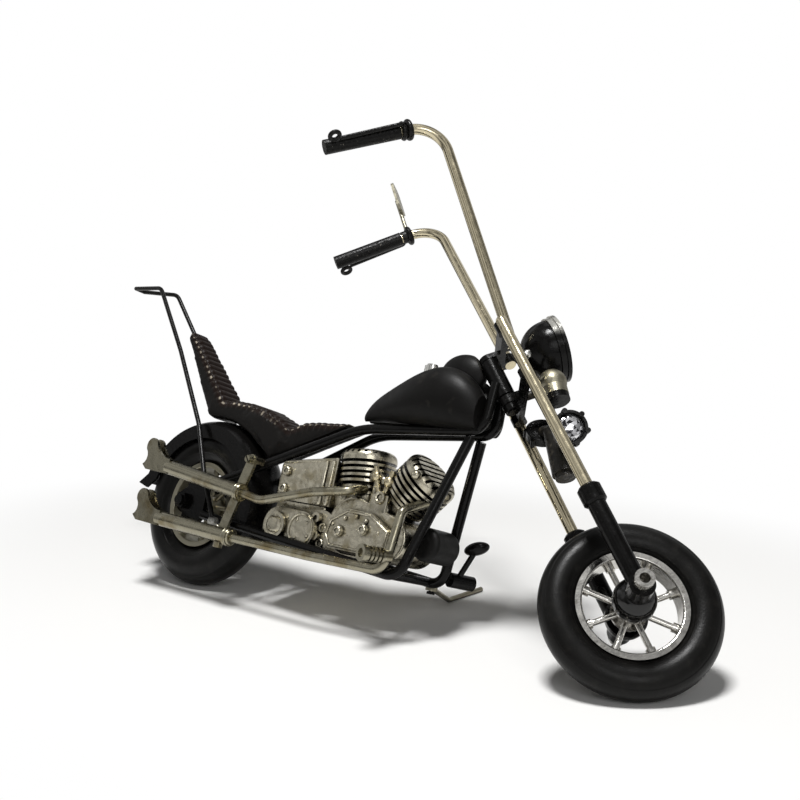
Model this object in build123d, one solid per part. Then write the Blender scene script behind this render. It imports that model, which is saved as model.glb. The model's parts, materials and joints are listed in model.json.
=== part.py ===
from build123d import *
import os
from math import asin, cos, degrees, radians, sin, sqrt

# A hand-built wire and casting model of a long-fork chopper, about one twelfth of full size.
# Pieces are drawn on the upright machine: x forward from the rear axle, y to its left, z up from
# the ground. Fork pieces are drawn in the fork's own frame: x square to the steering axis and
# forward, y left, z up the axis, from the top of the fork. At the end the machine is leant on its
# side stand with the bars turned to the left stop, and set with its box centred on the ground.

# Wheels
FRONT_R = 22.0            # outer radius of the front tyre
FRONT_TYRE_R = 4.7        # radius of its round section
REAR_R = 25.2
REAR_TYRE_R = 6.2
RIM_GRIP = 0.9            # depth that the rim's lip reaches up the tyre
RIM_WALL = 1.7
SPOKES = 8
SPOKE_R = 0.75
SOCKET_R = 1.2            # stepped foot of each spoke in the rim
SOCKET_LEN = 1.8
HUB_R = 3.3
AXLE_R = 1.7
AXLE_BORE_R = 1.25        # blind hole in each end of the front axle
AXLE_BORE_DEEP = 3.0

# Steering and fork
HEAD_X = 95.5             # steering axis at the top of the fork
HEAD_Z = 79.3
RAKE = 39.4
STEER_STOP = 37.9         # turn to each stop
FORK_LEN = 79.0           # from fork top to axle, along the steering axis
FORK_OFFSET = 4.0         # legs ahead of the steering axis
LEG_Y = 13.2
TUBE_R = 1.55
TUBE_TOP = 3.0            # round cap above the fork top
SLIDER_R = 2.3
SLIDER_TOP = 51.4         # below the fork top
BOSS_R = 3.1              # axle boss at the foot of each leg
BOSS_HALF = 2.6
COLLAR_R = 3.0
COLLAR_LEN = 5.0
STEM_R = 1.5
NECK_R = 2.6
NECK_TOP = 2.0            # below the fork top
NECK_BOTTOM = 13.7
UPPER_CLAMP_T = 3.4
LOWER_CLAMP_T = 2.4
CLAMP_HALF = 0.9          # half width of the bar between the fork tubes
CLAMP_GAP = 0.4           # clamp to neck, above and below

# Handlebars, in the fork's frame
BAR_R = 1.55
BAR_FOOT = (6.7, 4.4, -1.8)
BAR_CORNER = (11.9, 22.0, 68.9)
BAR_BACK = (-34.8, 3.2, -0.9)   # run of the grips from the corner
BAR_BEND = 9.0
BAR_STRAIGHT = 12.6       # corner to the grip's inner end
GRIP_R = 2.15
GRIP_LEN = 23.0
GRIP_CAP = 0.6            # grip's closed end past the bar

# Frame
RAIL_R = 1.45
RAIL_FRONT = (101.2, 3.2, 58.4)
RAIL_BEND = (60.0, 4.4, 55.2)
RAIL_REAR = (5.0, 10.2, 31.2)
DOWN_TOP = (97.2, 2.8, 56.2)
DOWN_LOW = (88.4, 10.5, 15.9)
CRADLE_REAR = (5.0, 10.2, 22.0)
PLATE_T = 1.6
LEAN = 20.0

# Fits
SEAM = 0.05               # between pieces of one body
RUN = 0.05                # radial running fit

REAR_AXLE = Vector(0, 0, REAR_R)


def along_y(shape):
    """A shape drawn round z, laid with its axis on y."""
    return Rot(-90, 0, 0) * shape


def rod(points, radius, bends):
    """A round bar along straight runs joined by arcs."""
    path = FilletPolyline(*points, radius=bends)
    return sweep(Plane(path @ 0, z_dir=path % 0) * Circle(radius), path=path)


def bar(start, end, radius):
    """A straight round bar from one point to another."""
    run = Vector(*end) - Vector(*start)
    middle = Vector(*start) + run * 0.5
    return Plane(middle, z_dir=run) * Cylinder(radius, run.length)


def capsule(start, end, radius):
    return bar(start, end, radius) + Pos(*start) * Sphere(radius) + Pos(*end) * Sphere(radius)


def flip(shape):
    """The same piece on the other side of the machine."""
    return mirror(shape, about=Plane.XZ)


def both(shape):
    return Compound(children=[shape, flip(shape)])


def side(point, sign):
    return (point[0], point[1] * sign, point[2])


# Wheels, drawn round the y axis at their own centre

def tyre(outer_r, section_r):
    ring = Torus(outer_r - section_r, section_r)
    seat = outer_r - 2 * section_r + RIM_GRIP
    return along_y(ring - Cylinder(seat, 4 * section_r))


def spoked_wheel(outer_r, section_r, rim_half, hub_half, axle_r):
    """Rim, stepped spokes and flanged hub as one casting, bored for its axle."""
    seat = outer_r - 2 * section_r + RIM_GRIP - SEAM
    inner = seat - RIM_WALL
    rim = Cylinder(seat, 2 * rim_half) - Cylinder(inner, 2 * rim_half)
    rim = fillet(rim.edges().filter_by(GeomType.CIRCLE).group_by(SortBy.RADIUS)[0], 0.5)
    hub = Cylinder(HUB_R, 2 * hub_half)
    for z in (-0.55, 0.55):
        hub += Pos(0, 0, z * hub_half) * Cylinder(HUB_R + 1.1, 0.9)
    wheel = rim + hub
    for turn in range(SPOKES):
        arm = Pos((HUB_R + inner) / 2, 0, 0) * Rot(0, 90, 0) * Cylinder(SPOKE_R, inner - HUB_R + 1.0)
        socket_at = inner - SOCKET_LEN / 2 + 0.3
        socket = Pos(socket_at, 0, 0) * Rot(0, 90, 0) * Cylinder(SOCKET_R, SOCKET_LEN)
        wheel += Rot(0, 0, 360 / SPOKES * turn) * (arm + socket)
    return along_y(wheel - Cylinder(axle_r + RUN, 4 * hub_half))


FRONT_HUB_HALF = 5.0
COVER_GAP = 0.35          # hub cover to fork leg
FRONT_COVER_OUT = LEG_Y - BOSS_HALF - COVER_GAP
REAR_HUB_HALF = 6.0

front_tyre = tyre(FRONT_R, FRONT_TYRE_R)
front_wheel = spoked_wheel(FRONT_R, FRONT_TYRE_R, 3.4, FRONT_HUB_HALF, AXLE_R)


def hub_cover():
    """Domed cover between the hub and the fork leg."""
    deep = FRONT_COVER_OUT - FRONT_HUB_HALF - SEAM
    with BuildSketch(Plane.XZ) as half:
        with BuildLine():
            Polyline((AXLE_R + RUN, 0), (5.2, 0), (5.2, 1.2))
            ThreePointArc((5.2, 1.2), (4.5, 0.66 * deep), (2.7, deep))
            Polyline((2.7, deep), (AXLE_R + RUN, deep), (AXLE_R + RUN, 0))
        make_face()
    dome = revolve(half.sketch, axis=Axis.Z)
    return Pos(0, FRONT_HUB_HALF + SEAM, 0) * along_y(dome)


front_hub_covers = both(hub_cover())

rear_tyre = tyre(REAR_R, REAR_TYRE_R)
rear_wheel = spoked_wheel(REAR_R, REAR_TYRE_R, 4.6, REAR_HUB_HALF, AXLE_R)


def lobed_disc():
    """Brake disc with round lobes, on the wheel's right."""
    face = Circle(5.4)
    for turn in range(6):
        face += Rot(0, 0, 60 * turn) * Pos(5.4, 0) * Circle(1.9)
    plate = extrude(face, 0.8)
    plate += Pos(0, 0, 0.8) * extrude(Circle(3.2), 0.7)
    return plate - Cylinder(AXLE_R + RUN, 10)


rear_disc = Pos(0, -REAR_HUB_HALF - SEAM, 0) * Rot(90, 0, 0) * lobed_disc()


def sprocket():
    teeth = 18
    face = Circle(8.0)
    for turn in range(teeth):
        face += Rot(0, 0, 360 / teeth * turn) * Pos(8.0, 0) * Circle(0.75)
    for turn in range(5):
        face -= Rot(0, 0, 72 * turn) * Pos(5.4, 0) * Circle(1.3)
    return extrude(face, 0.9) - Cylinder(AXLE_R + RUN, 10)


rear_sprocket = Pos(0, REAR_HUB_HALF + SEAM, 0) * Rot(-90, 0, 0) * sprocket()

# Fork, in its own frame

front_axle_z = -FORK_LEN
AXLE_END = 3.2            # axle showing outside each leg
AXLE_HEAD_R = 2.3


def leg_at(z, sign=1):
    return Pos(FORK_OFFSET, LEG_Y * sign, z)


def span(radius, low, high):
    """A round bar up the steering axis between two heights."""
    return Pos(0, 0, (low + high) / 2) * Cylinder(radius, high - low)


lower_clamp_top = -NECK_BOTTOM - CLAMP_GAP
upper_clamp_low = -NECK_TOP + CLAMP_GAP
tube_low = -SLIDER_TOP - 8.0

one_tube = leg_at(0) * span(TUBE_R, tube_low, TUBE_TOP)
one_tube = fillet(one_tube.edges().sort_by(Axis.Z)[-1], 0.9 * TUBE_R)
fork_tubes = both(one_tube)
tube_holes = both(leg_at(0) * span(TUBE_R + SEAM, tube_low - 1, TUBE_TOP + 1))


def slider():
    """Black lower leg with its collar and the boss that holds the axle."""
    leg = leg_at(0) * span(SLIDER_R, front_axle_z, -SLIDER_TOP)
    collar = leg_at(0) * span(COLLAR_R, -SLIDER_TOP - COLLAR_LEN, -SLIDER_TOP)
    collar = chamfer(collar.edges().filter_by(GeomType.CIRCLE), 0.6)
    boss = leg_at(front_axle_z) * along_y(Cylinder(BOSS_R, 2 * BOSS_HALF))
    socket = leg_at(0) * span(TUBE_R + SEAM, tube_low - SEAM, 0)
    bore = leg_at(front_axle_z) * along_y(Cylinder(AXLE_R + SEAM, 20))
    return leg + collar + boss - socket - bore


fork_sliders = both(slider())

axle_half = LEG_Y + BOSS_HALF + SEAM + AXLE_END


def axle_head():
    return Pos(0, axle_half - AXLE_END / 2, 0) * along_y(Cylinder(AXLE_HEAD_R, AXLE_END))


front_axle = along_y(Cylinder(AXLE_R, 2 * axle_half)) + axle_head() + flip(axle_head())
axle_bore = Pos(0, axle_half - AXLE_BORE_DEEP / 2, 0) * along_y(Cylinder(AXLE_BORE_R, AXLE_BORE_DEEP))
front_axle = front_axle - axle_bore - flip(axle_bore)
front_axle = Pos(FORK_OFFSET, 0, front_axle_z) * front_axle

grip_run = Vector(*BAR_BACK).normalized()
BAR_END = tuple(Vector(*BAR_CORNER) + grip_run * (BAR_STRAIGHT + GRIP_LEN - GRIP_CAP))
riser_run = (Vector(*BAR_CORNER) - Vector(*BAR_FOOT)).normalized()


def riser_at(z, sign):
    """Place on the straight riser at one height."""
    k = (z - BAR_FOOT[2]) / riser_run.Z
    p = Vector(*BAR_FOOT) + riser_run * k
    return Vector(p.X, p.Y * sign, z)


def handlebar(sign):
    return rod([side(p, sign) for p in (BAR_FOOT, BAR_CORNER, BAR_END)], BAR_R, BAR_BEND)


def riser_hole(sign):
    return bar(riser_at(-12, sign), riser_at(20, sign), BAR_R + SEAM)


def clamp_plate(low, high, eye_r):
    """Bar from leg to leg with a thicker end at each tube and an arm back to the stem."""
    web = Pos(FORK_OFFSET, 0) * Rectangle(2 * CLAMP_HALF, 2 * LEG_Y)
    for sign in (-1, 1):
        web += Pos(FORK_OFFSET, sign * (LEG_Y - 1.3)) * Circle(TUBE_R + 0.5)
    eye = Circle(eye_r) + Pos(FORK_OFFSET, 0) * Rectangle(2 * CLAMP_HALF, 2 * eye_r)
    web += make_hull(eye.edges())
    return Pos(0, 0, low) * extrude(web, high - low)


def riser_socket(sign):
    """Half-round seat behind the foot of one riser, on the upper clamp."""
    foot = riser_at(upper_clamp_low, sign)
    seat = make_hull((Pos(foot.X, foot.Y) * Circle(BAR_R + 0.3)
                      + Pos(FORK_OFFSET, foot.Y) * Rectangle(1.0, 2 * BAR_R)).edges())
    return Pos(0, 0, upper_clamp_low) * extrude(seat, UPPER_CLAMP_T - 0.6)


lower_clamp_low = lower_clamp_top - LOWER_CLAMP_T
upper_clamp_top = upper_clamp_low + UPPER_CLAMP_T
EYE_WALL = 0.9            # clamp's eye round the stem
fork_clamps = clamp_plate(upper_clamp_low, upper_clamp_top, STEM_R + EYE_WALL)
fork_clamps += clamp_plate(lower_clamp_low, lower_clamp_top, STEM_R + EYE_WALL)
fork_clamps += span(STEM_R, lower_clamp_low - 2.4, upper_clamp_top)
fork_clamps += span(STEM_R + 0.6, lower_clamp_low - 2.0, lower_clamp_low)
for sign in (-1, 1):
    fork_clamps += riser_socket(sign)
EYE_T = 1.4               # height of the upper clamp's eye, lower than its plate
fork_clamps -= Pos(FORK_OFFSET - CLAMP_HALF - 5.0, 0, upper_clamp_low + EYE_T + 5.0) * Box(10.0, 14.0, 10.0)
fork_clamps = fork_clamps - tube_holes - riser_hole(1) - riser_hole(-1)

handlebars = Compound(children=[handlebar(-1), handlebar(1)])


def grip_at(along, out, up, sign):
    """Place by the grip: along from its inner end, out from the bar and up."""
    p = Vector(*BAR_CORNER) + grip_run * (BAR_STRAIGHT + along)
    return Vector(p.X, (p.Y + out) * sign, p.Z + up)


def grip(sign):
    rubber = bar(grip_at(0, 0, 0, sign), grip_at(GRIP_LEN, 0, 0, sign), GRIP_R)
    core = bar(grip_at(-1, 0, 0, sign), grip_at(GRIP_LEN - GRIP_CAP, 0, 0, sign), BAR_R + SEAM)
    return rubber - core


PERCH_WALL = 0.5
PERCH_FROM = -3.8         # along the bar from the grip's inner end
PERCH_TO = -0.4
PERCH_RINGS = ((-2.9, 0.9), (-1.1, 0.6))    # place along and thickness of each ring
perch_ring_r = BAR_R + PERCH_WALL + 0.2
LEVER_R = 0.65
LEVER_OUT = GRIP_R + LEVER_R + 0.1


def perch_ring(along, thick, sign):
    ring = Plane(grip_at(along, 0, 0, sign), z_dir=(grip_run.X, grip_run.Y * sign, grip_run.Z))
    return ring * Torus(perch_ring_r, thick)


def lever(sign):
    """Perch of two rings on the bar, with the lever bent along the grip to a ring at its end."""
    perch = bar(grip_at(PERCH_FROM, 0, 0, sign), grip_at(PERCH_TO, 0, 0, sign), BAR_R + PERCH_WALL)
    for along, thick in PERCH_RINGS:
        perch += perch_ring(along, thick, sign)
    blade = rod(
        [grip_at(-1.6, 1.8, 0, sign), grip_at(-0.6, LEVER_OUT, -0.2, sign),
         grip_at(GRIP_LEN - 4.6, LEVER_OUT, -0.8, sign)],
        LEVER_R, 0.8)
    ring = Plane(grip_at(GRIP_LEN - 3.2, LEVER_OUT + 1.5, -0.9, sign), z_dir=(0, 0, 1)) * Torus(1.4, LEVER_R)
    hole = bar(grip_at(-9, 0, 0, sign), grip_at(9, 0, 0, sign), BAR_R + SEAM)
    return perch + blade + ring - hole - handlebar(sign)


grips = Compound(children=[grip(-1), grip(1)])
levers = Compound(children=[lever(-1), lever(1)])


MIRROR_TALL = 13.0
MIRROR_WIDE = 6.4
MIRROR_T = 0.9
MIRROR_LEAN = Vector(0.12, 0.05, 1.0).normalized()


def mirror_piece():
    """Upright oblong mirror, nearly edge on to the right, on a stem from the left perch."""
    along, thick = PERCH_RINGS[0]
    foot = grip_at(along, 0, perch_ring_r + thick + SEAM, 1)
    middle = foot + MIRROR_LEAN * (7.0 + MIRROR_TALL / 2)
    stem = bar(foot, middle, 0.65)
    plate = Plane(middle + Vector(0.4, -0.5, 0), x_dir=MIRROR_LEAN, z_dir=(0.93, -0.31, -0.10))
    head = plate * RectangleRounded(MIRROR_TALL, MIRROR_WIDE, 2.4)
    return stem + extrude(head, MIRROR_T / 2, both=True)


handlebar_mirror = mirror_piece()

# Lamps on the front of the fork

LAMP_R = 8.6              # headlamp bowl
LAMP_X = 8.8              # back of the bowl
LAMP_DEEP = LAMP_R        # the bowl is half a ball
LAMP_Z = -3.4
LAMP_PLANE = Plane((LAMP_X, 0, LAMP_Z), z_dir=(1, -0.02, -0.07))


def headlamp_bowl():
    ball = Pos(0, 0, LAMP_DEEP) * Sphere(LAMP_R)
    return LAMP_PLANE * (ball - Pos(0, 0, 1.5 * LAMP_DEEP) * Box(4 * LAMP_R, 4 * LAMP_R, LAMP_DEEP))


def headlamp_rim():
    """Bright ring and darker front rim round the glass."""
    ring = Pos(0, 0, LAMP_DEEP + SEAM + 0.8) * Cylinder(LAMP_R + 0.5, 1.6)
    ring += Pos(0, 0, LAMP_DEEP + SEAM + 2.1) * Cylinder(LAMP_R + 0.9, 1.0)
    return LAMP_PLANE * (ring - Pos(0, 0, LAMP_DEEP + 2.2) * Cylinder(LAMP_R - 0.6, 3.4))


def headlamp_glass():
    dome = Sphere(18.0) & (Pos(0, 0, 18.0) * Cylinder(LAMP_R - 0.6 - SEAM, 4.4))
    return LAMP_PLANE * Pos(0, 0, LAMP_DEEP + 0.55 + 0.4 - 15.8) * dome


headlamp_shell = headlamp_bowl()
headlamp_ring = headlamp_rim()
headlamp_lens = headlamp_glass()

BRACKET_R = 1.2
lower_clamp_mid = lower_clamp_top - LOWER_CLAMP_T / 2
bracket_root = Vector(FORK_OFFSET, 0, lower_clamp_mid)
bracket_elbow = Vector(LAMP_X + 1.9, 0, lower_clamp_mid)
bracket_head = Vector(bracket_elbow.X, 0, LAMP_Z - 3.0)

SPOT_RIGHT = Vector(8.5, -9.0, -32.9)
SPOT_LEFT = Vector(6.9, 7.2, -23.6)
SPOT_R = 4.5
HORN_R = 3.3


def spot_setting(centre, sign):
    """Claw cup that holds one cut-glass stone, open to the outside."""
    face = Plane(centre, z_dir=(-0.1, sign, -0.35))
    cup = face * (Cylinder(SPOT_R, 2.4) - Pos(0, 0, 0.8) * Cylinder(SPOT_R - 0.7, 1.6))
    for turn in range(6):
        cup += face * Rot(0, 0, 60 * turn) * Pos(SPOT_R - 0.1, 0, 0.7) * Cylinder(0.7, 2.2)
    return cup


def spot_stone(centre, sign):
    """Faceted stone: a ring of flat facets round a table."""
    face = Plane(centre, z_dir=(-0.1, sign, -0.35))
    low = SPOT_R - 0.7 - 0.15
    stone = loft([RegularPolygon(low, 10), Pos(0, 0, 1.9) * RegularPolygon(0.5 * low, 10)])
    return face * Pos(0, 0, SEAM) * stone


spot_settings = Compound(children=[spot_setting(SPOT_RIGHT, -1), spot_setting(SPOT_LEFT, 1)])
spot_stones = Compound(children=[spot_stone(SPOT_RIGHT, -1), spot_stone(SPOT_LEFT, 1)])

spot_middle = (SPOT_RIGHT + SPOT_LEFT) * 0.5
horn_mouth = Vector(FORK_OFFSET + 0.5, spot_middle.Y, SPOT_RIGHT.Z - 8.1)
lamp_bracket = rod([bracket_root, bracket_elbow, bracket_head], BRACKET_R, 1.5)
lamp_bracket += bar(bracket_elbow, spot_middle, BRACKET_R)
lamp_bracket += bar(SPOT_RIGHT + Vector(0, 1.3, 0.4), SPOT_LEFT + Vector(0, -1.3, -0.4), 1.6)
lamp_bracket += bar(spot_middle, horn_mouth, HORN_R)
lamp_bracket += Plane(horn_mouth, z_dir=horn_mouth - spot_middle) * Cylinder(HORN_R - 0.7, 2.4)
lamp_bracket = lamp_bracket - fork_clamps - spot_settings - headlamp_shell

BULLET_TOP = Vector(10.4, -8.0, -18.4)
BULLET_RUN = Vector(-0.18, 0, -1.0).normalized()
BULLET_R = 3.8
BULLET_DEEP = 4.2         # ball's middle to the rim
bullet_lamp = Pos(*BULLET_TOP) * Sphere(BULLET_R)
bullet_lamp += bar(BULLET_TOP, BULLET_TOP + BULLET_RUN * BULLET_DEEP, BULLET_R - 0.4)
bullet_lamp += bar(BULLET_TOP, bracket_elbow, 0.8)
bullet_lamp = bullet_lamp - headlamp_shell - lamp_bracket
rim_start = BULLET_TOP + BULLET_RUN * (BULLET_DEEP + SEAM)
bullet_rim = bar(rim_start, rim_start + BULLET_RUN * 1.6, BULLET_R - 0.5)

# Frame

STEER_AXIS = Vector(-sin(radians(RAKE)), 0, cos(radians(RAKE)))
FORK_X = Vector(cos(radians(RAKE)), 0, sin(radians(RAKE)))
HEAD = Vector(HEAD_X, 0, HEAD_Z)
FORK_PLANE = Plane(HEAD, x_dir=FORK_X, z_dir=STEER_AXIS)

neck_solid = FORK_PLANE * span(NECK_R, -NECK_BOTTOM, -NECK_TOP)
neck = neck_solid - FORK_PLANE * span(STEM_R + RUN, -40, 10)
neck_cut = FORK_PLANE * span(NECK_R + SEAM, -NECK_BOTTOM - 1, -NECK_TOP + 1)
neck_joint = HEAD - STEER_AXIS * (0.61 * (NECK_BOTTOM + NECK_TOP))


def axle_plate_solid(grow):
    """Three-cornered plate that takes both rear tubes and the axle."""
    outline = make_hull((
        Pos(REAR_AXLE.X, REAR_AXLE.Z) * Circle(3.6)
        + Pos(RAIL_REAR[0] + 2, RAIL_REAR[2]) * Circle(2.4)
        + Pos(CRADLE_REAR[0] + 2, CRADLE_REAR[2]) * Circle(2.4)).edges())
    plate = extrude(Plane.XZ * outline, (PLATE_T / 2 + grow), both=True)
    return Pos(0, RAIL_REAR[1], 0) * plate


axle_plate_hole = REAR_AXLE + Vector(0, RAIL_REAR[1], 0)
one_plate = axle_plate_solid(0) - Pos(*axle_plate_hole) * along_y(Cylinder(AXLE_R + SEAM, 10))
axle_plates = both(one_plate)


def top_rail():
    rear_end = (RAIL_REAR[0] + 4.0,) + RAIL_REAR[1:]
    points = [(neck_joint.X, 2.2, neck_joint.Z), RAIL_FRONT, RAIL_BEND, rear_end]
    return rod(points, RAIL_R, [5.0, 30.0]) - neck_cut - axle_plate_solid(SEAM)


right_top_rail = flip(top_rail())
left_top_rail = top_rail()


def cradle_tube():
    points = [DOWN_TOP, DOWN_LOW, (CRADLE_REAR[0] + 4.0,) + CRADLE_REAR[1:]]
    return rod(points, RAIL_R, [5.0]) - axle_plate_solid(SEAM)


left_cradle = cradle_tube() - top_rail()
right_cradle = flip(left_cradle)

CROSS_R = 1.2
cradle_slope = (CRADLE_REAR[2] - DOWN_LOW[2]) / (CRADLE_REAR[0] - DOWN_LOW[0])


def cradle_height(x):
    return DOWN_LOW[2] + (x - DOWN_LOW[0]) * cradle_slope


CROSS_X = (84.0, 76.0, 31.0)
rail_cut = both(cradle_tube())
cross_tubes = Compound(children=[
    bar((x, -DOWN_LOW[1], cradle_height(x)), (x, DOWN_LOW[1], cradle_height(x)), CROSS_R) - rail_cut
    for x in CROSS_X])

rear_axle_half = RAIL_REAR[1] + PLATE_T / 2 + 2.6
rear_axle = along_y(Cylinder(AXLE_R, 2 * rear_axle_half))
for sign in (-1, 1):
    nut = Pos(0, sign * (RAIL_REAR[1] + PLATE_T / 2 + SEAM + 0.9), 0) * Rot(90, 0, 0)
    rear_axle += nut * extrude(RegularPolygon(2.7, 6), 0.9, both=True)
rear_axle = Pos(*REAR_AXLE) * rear_axle

# Tank, its cap and the raised console on its middle

TANK_LOW = 57.4
# one lobe's sections: x, middle y, half width, half height
TANK_SECTIONS = (
    (58.5, 1.2, 0.9, 1.3),
    (65.0, 2.7, 2.8, 4.0),
    (75.0, 4.1, 4.9, 6.6),
    (86.0, 5.0, 5.9, 8.4),
    (94.5, 4.8, 5.0, 7.4),
    (100.0, 4.4, 3.2, 4.8),
)


def tank_lobe():
    rings = [
        Plane((x, y, TANK_LOW + 0.6 + high), x_dir=(0, 1, 0), z_dir=(1, 0, 0)) * Ellipse(wide, high)
        for x, y, wide, high in TANK_SECTIONS]
    return loft(rings)


fuel_tank = tank_lobe() + flip(tank_lobe()) - both(top_rail()) - neck_cut

# Rear fender: an arched shell round the tyre with a flicked tail

FENDER_GAP = 1.9          # tyre to fender
FENDER_R = REAR_R + FENDER_GAP
FENDER_T = 0.8
FENDER_HALF = REAR_TYRE_R + 1.2
FENDER_CAMBER = 2.2       # crown above the shoulders
FENDER_FROM = -20.0
FENDER_TO = 165.0
TAIL_LEN = 5.0            # straight tail, flicked outward


def fender_section(grow):
    with BuildSketch(Plane.XZ) as face:
        with BuildLine():
            crown = FENDER_R + grow
            shoulder = crown - FENDER_CAMBER
            skirt = FENDER_R - 6.0
            half = FENDER_HALF - FENDER_T + grow
            Line((shoulder, -half), (skirt, -half))
            Line((skirt, -half), (skirt, half))
            Line((skirt, half), (shoulder, half))
            ThreePointArc((shoulder, half), (crown, 0), (shoulder, -half))
        make_face()
    return face.sketch


def rear_fender_solid():
    sweep_turn = FENDER_TO - FENDER_FROM
    outer = revolve(fender_section(FENDER_T), axis=Axis.Z, revolution_arc=sweep_turn)
    inner = revolve(fender_section(0), axis=Axis.Z, revolution_arc=sweep_turn)
    shell = outer - inner
    end = Rot(0, 0, sweep_turn) * (fender_section(FENDER_T) - fender_section(0))
    flick = Vector(0.55, 0.85, 0).rotate(Axis.Z, sweep_turn)
    shell += extrude(end, TAIL_LEN, dir=flick)
    return Pos(*REAR_AXLE) * Rot(0, -FENDER_FROM, 0) * Rot(90, 0, 0) * shell


rear_fender = rear_fender_solid() - both(top_rail())
rear_fender = max(rear_fender.solids(), key=lambda s: s.volume)

# Seat: rider's pad, passenger's hump and tall back, resting on the rails and the fender's crown

SEAT_HALF = 6.0
SEAT_BACK_HALF = 4.1      # half width at the top of the back
SEAT_NOSE_X = 56.5
rail_slope = (RAIL_BEND[2] - RAIL_REAR[2]) / (RAIL_BEND[0] - RAIL_REAR[0])


def above_rail(x):
    """Height just clear of the top of the sloping rails."""
    return RAIL_REAR[2] + rail_slope * (x - RAIL_REAR[0]) + (RAIL_R + SEAM) * sqrt(1 + rail_slope ** 2)


def seat_solid():
    nose_low = (SEAT_NOSE_X, above_rail(SEAT_NOSE_X))
    nose_top = (SEAT_NOSE_X, nose_low[1] + 1.2)
    with BuildSketch(Plane.XZ) as outline:
        with BuildLine():
            Polyline(nose_low, (16.0, above_rail(16.0)), (-1.0, 50.0), (-26.9, 81.2))
            ThreePointArc((-26.9, 81.2), (-25.4, 84.2), (-22.0, 81.8))
            Polyline((-22.0, 81.8), (0.6, 59.6))
            ThreePointArc((0.6, 59.6), (13.0, 59.6), (27.0, 56.0))
            Line((27.0, 56.0), (32.5, 52.8))
            ThreePointArc((32.5, 52.8), (43.5, 55.9), nose_top)
            Line(nose_top, nose_low)
        make_face()
    slab = extrude(outline.sketch, SEAT_HALF, both=True)
    front = Polyline(
        (SEAT_HALF, 30), (SEAT_HALF, 57), (SEAT_BACK_HALF, 84.5),
        (-SEAT_BACK_HALF, 84.5), (-SEAT_HALF, 57), (-SEAT_HALF, 30), close=True)
    slab = slab & extrude(Plane.YZ * make_face(front), 100, both=True)
    return slab - Pos(*REAR_AXLE) * along_y(Cylinder(FENDER_R + FENDER_T + SEAM, 4 * SEAT_HALF))


seat = max(seat_solid().solids(), key=lambda s: s.volume)

# Sissy bar: one thin rod up from each rear tube, meeting in a tip bent backward

SISSY_R = 0.75
SISSY_FOOT = (17.0, RAIL_REAR[1] + RAIL_R + SISSY_R + 0.3, 20.6)
# places up the rod, drawn on the left
SISSY_RUN = (
    SISSY_FOOT,
    (7.6, 12.2, 34.3),
    (-3.4, 9.4, 50.0),
    (-25.7, 5.9, 75.2),
    (-47.2, 3.9, 98.4),
    (-64.2, 2.0, 98.9),
)
sissy_left = rod(SISSY_RUN, SISSY_R, [12.0, 30.0, 60.0, 5.0])
sissy_tip = SISSY_RUN[-1]
sissy_bar = sissy_left + flip(sissy_left) + capsule(sissy_tip, side(sissy_tip, -1), SISSY_R)
for sign in (-1, 1):
    foot = Pos(SISSY_FOOT[0], sign * (RAIL_REAR[1] + RAIL_R + 0.2), SISSY_FOOT[2])
    sissy_bar += foot * Pos(0, sign * 0.9, 0) * along_y(Cylinder(1.5, 1.8))
sissy_bar = sissy_bar - both(cradle_tube())

# Tank fittings

CONSOLE_AT = (89.0, 0, 73.8)
CONSOLE_SIZE = (7.6, 3.5, 6.2)    # half length, half width and half height
clamp_room = FORK_PLANE * span(STEM_R + EYE_WALL + 0.6, -9, 9)
CAP_AT = (81.6, -5.2, 73.6)
filler_cap = Pos(*CAP_AT) * (Cylinder(2.1, 2.2) + Pos(0, 0, 1.3) * Cylinder(1.5, 0.8)) - fuel_tank
console = Pos(*CONSOLE_AT) * scale(Sphere(1.0), by=CONSOLE_SIZE) - fuel_tank - clamp_room
console = console - Pos(*CAP_AT) * Cylinder(2.1 + SEAM, 12)
console = max(console.solids(), key=lambda s: s.center().Z)

# Engine, a twin with its cylinders spread in a vee over one crankcase

CASE_HALF = 8.0
CASE_REAR = (66.5, 27.0, 8.4)      # x, z and radius of the case's round ends
CASE_FRONT = (80.0, 25.4, 6.4)


def round_ended(ends, near, far):
    """A slab with round ends in side view, between two places across the machine."""
    outline = Sketch()
    for x, z, radius in ends:
        outline += Pos(x, z) * Circle(radius)
    slab = extrude(Plane.XZ * make_hull(outline.edges()), far - near)
    return Pos(0, far, 0) * slab


crankcase = round_ended((CASE_REAR, CASE_FRONT), -CASE_HALF, CASE_HALF)
crankcase = fillet(crankcase.edges().filter_by(GeomType.LINE, reverse=True), 0.8)

BARREL_R = 5.6
FIN_R = 8.3
FIN_LOW_R = 6.6
FIN_T = 0.75
FIN_PITCH = 1.6
FINS = 6
HEAD_T = 3.2
BARREL_FOOT = 7.0
# each barrel: foot of its fins in x and z, and its tilt forward
REAR_BARREL = (63.2, 36.4, -7.0)
FRONT_BARREL = (77.8, 36.2, 42.0)


def barrel_place(x, z, tilt):
    return Pos(x, 0, z) * Rot(0, tilt, 0)


def barrel(place):
    """Finned barrel: the fins widen towards the head."""
    tall = FINS * FIN_PITCH
    body = Pos(0, 0, (tall - BARREL_FOOT) / 2) * Cylinder(BARREL_R, tall + BARREL_FOOT)
    for k in range(FINS):
        grow = FIN_LOW_R + (FIN_R - FIN_LOW_R) * min(1.0, k / 2)
        body += Pos(0, 0, FIN_PITCH * k + FIN_T / 2) * Cylinder(grow, FIN_T)
    return place * body - crankcase


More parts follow.
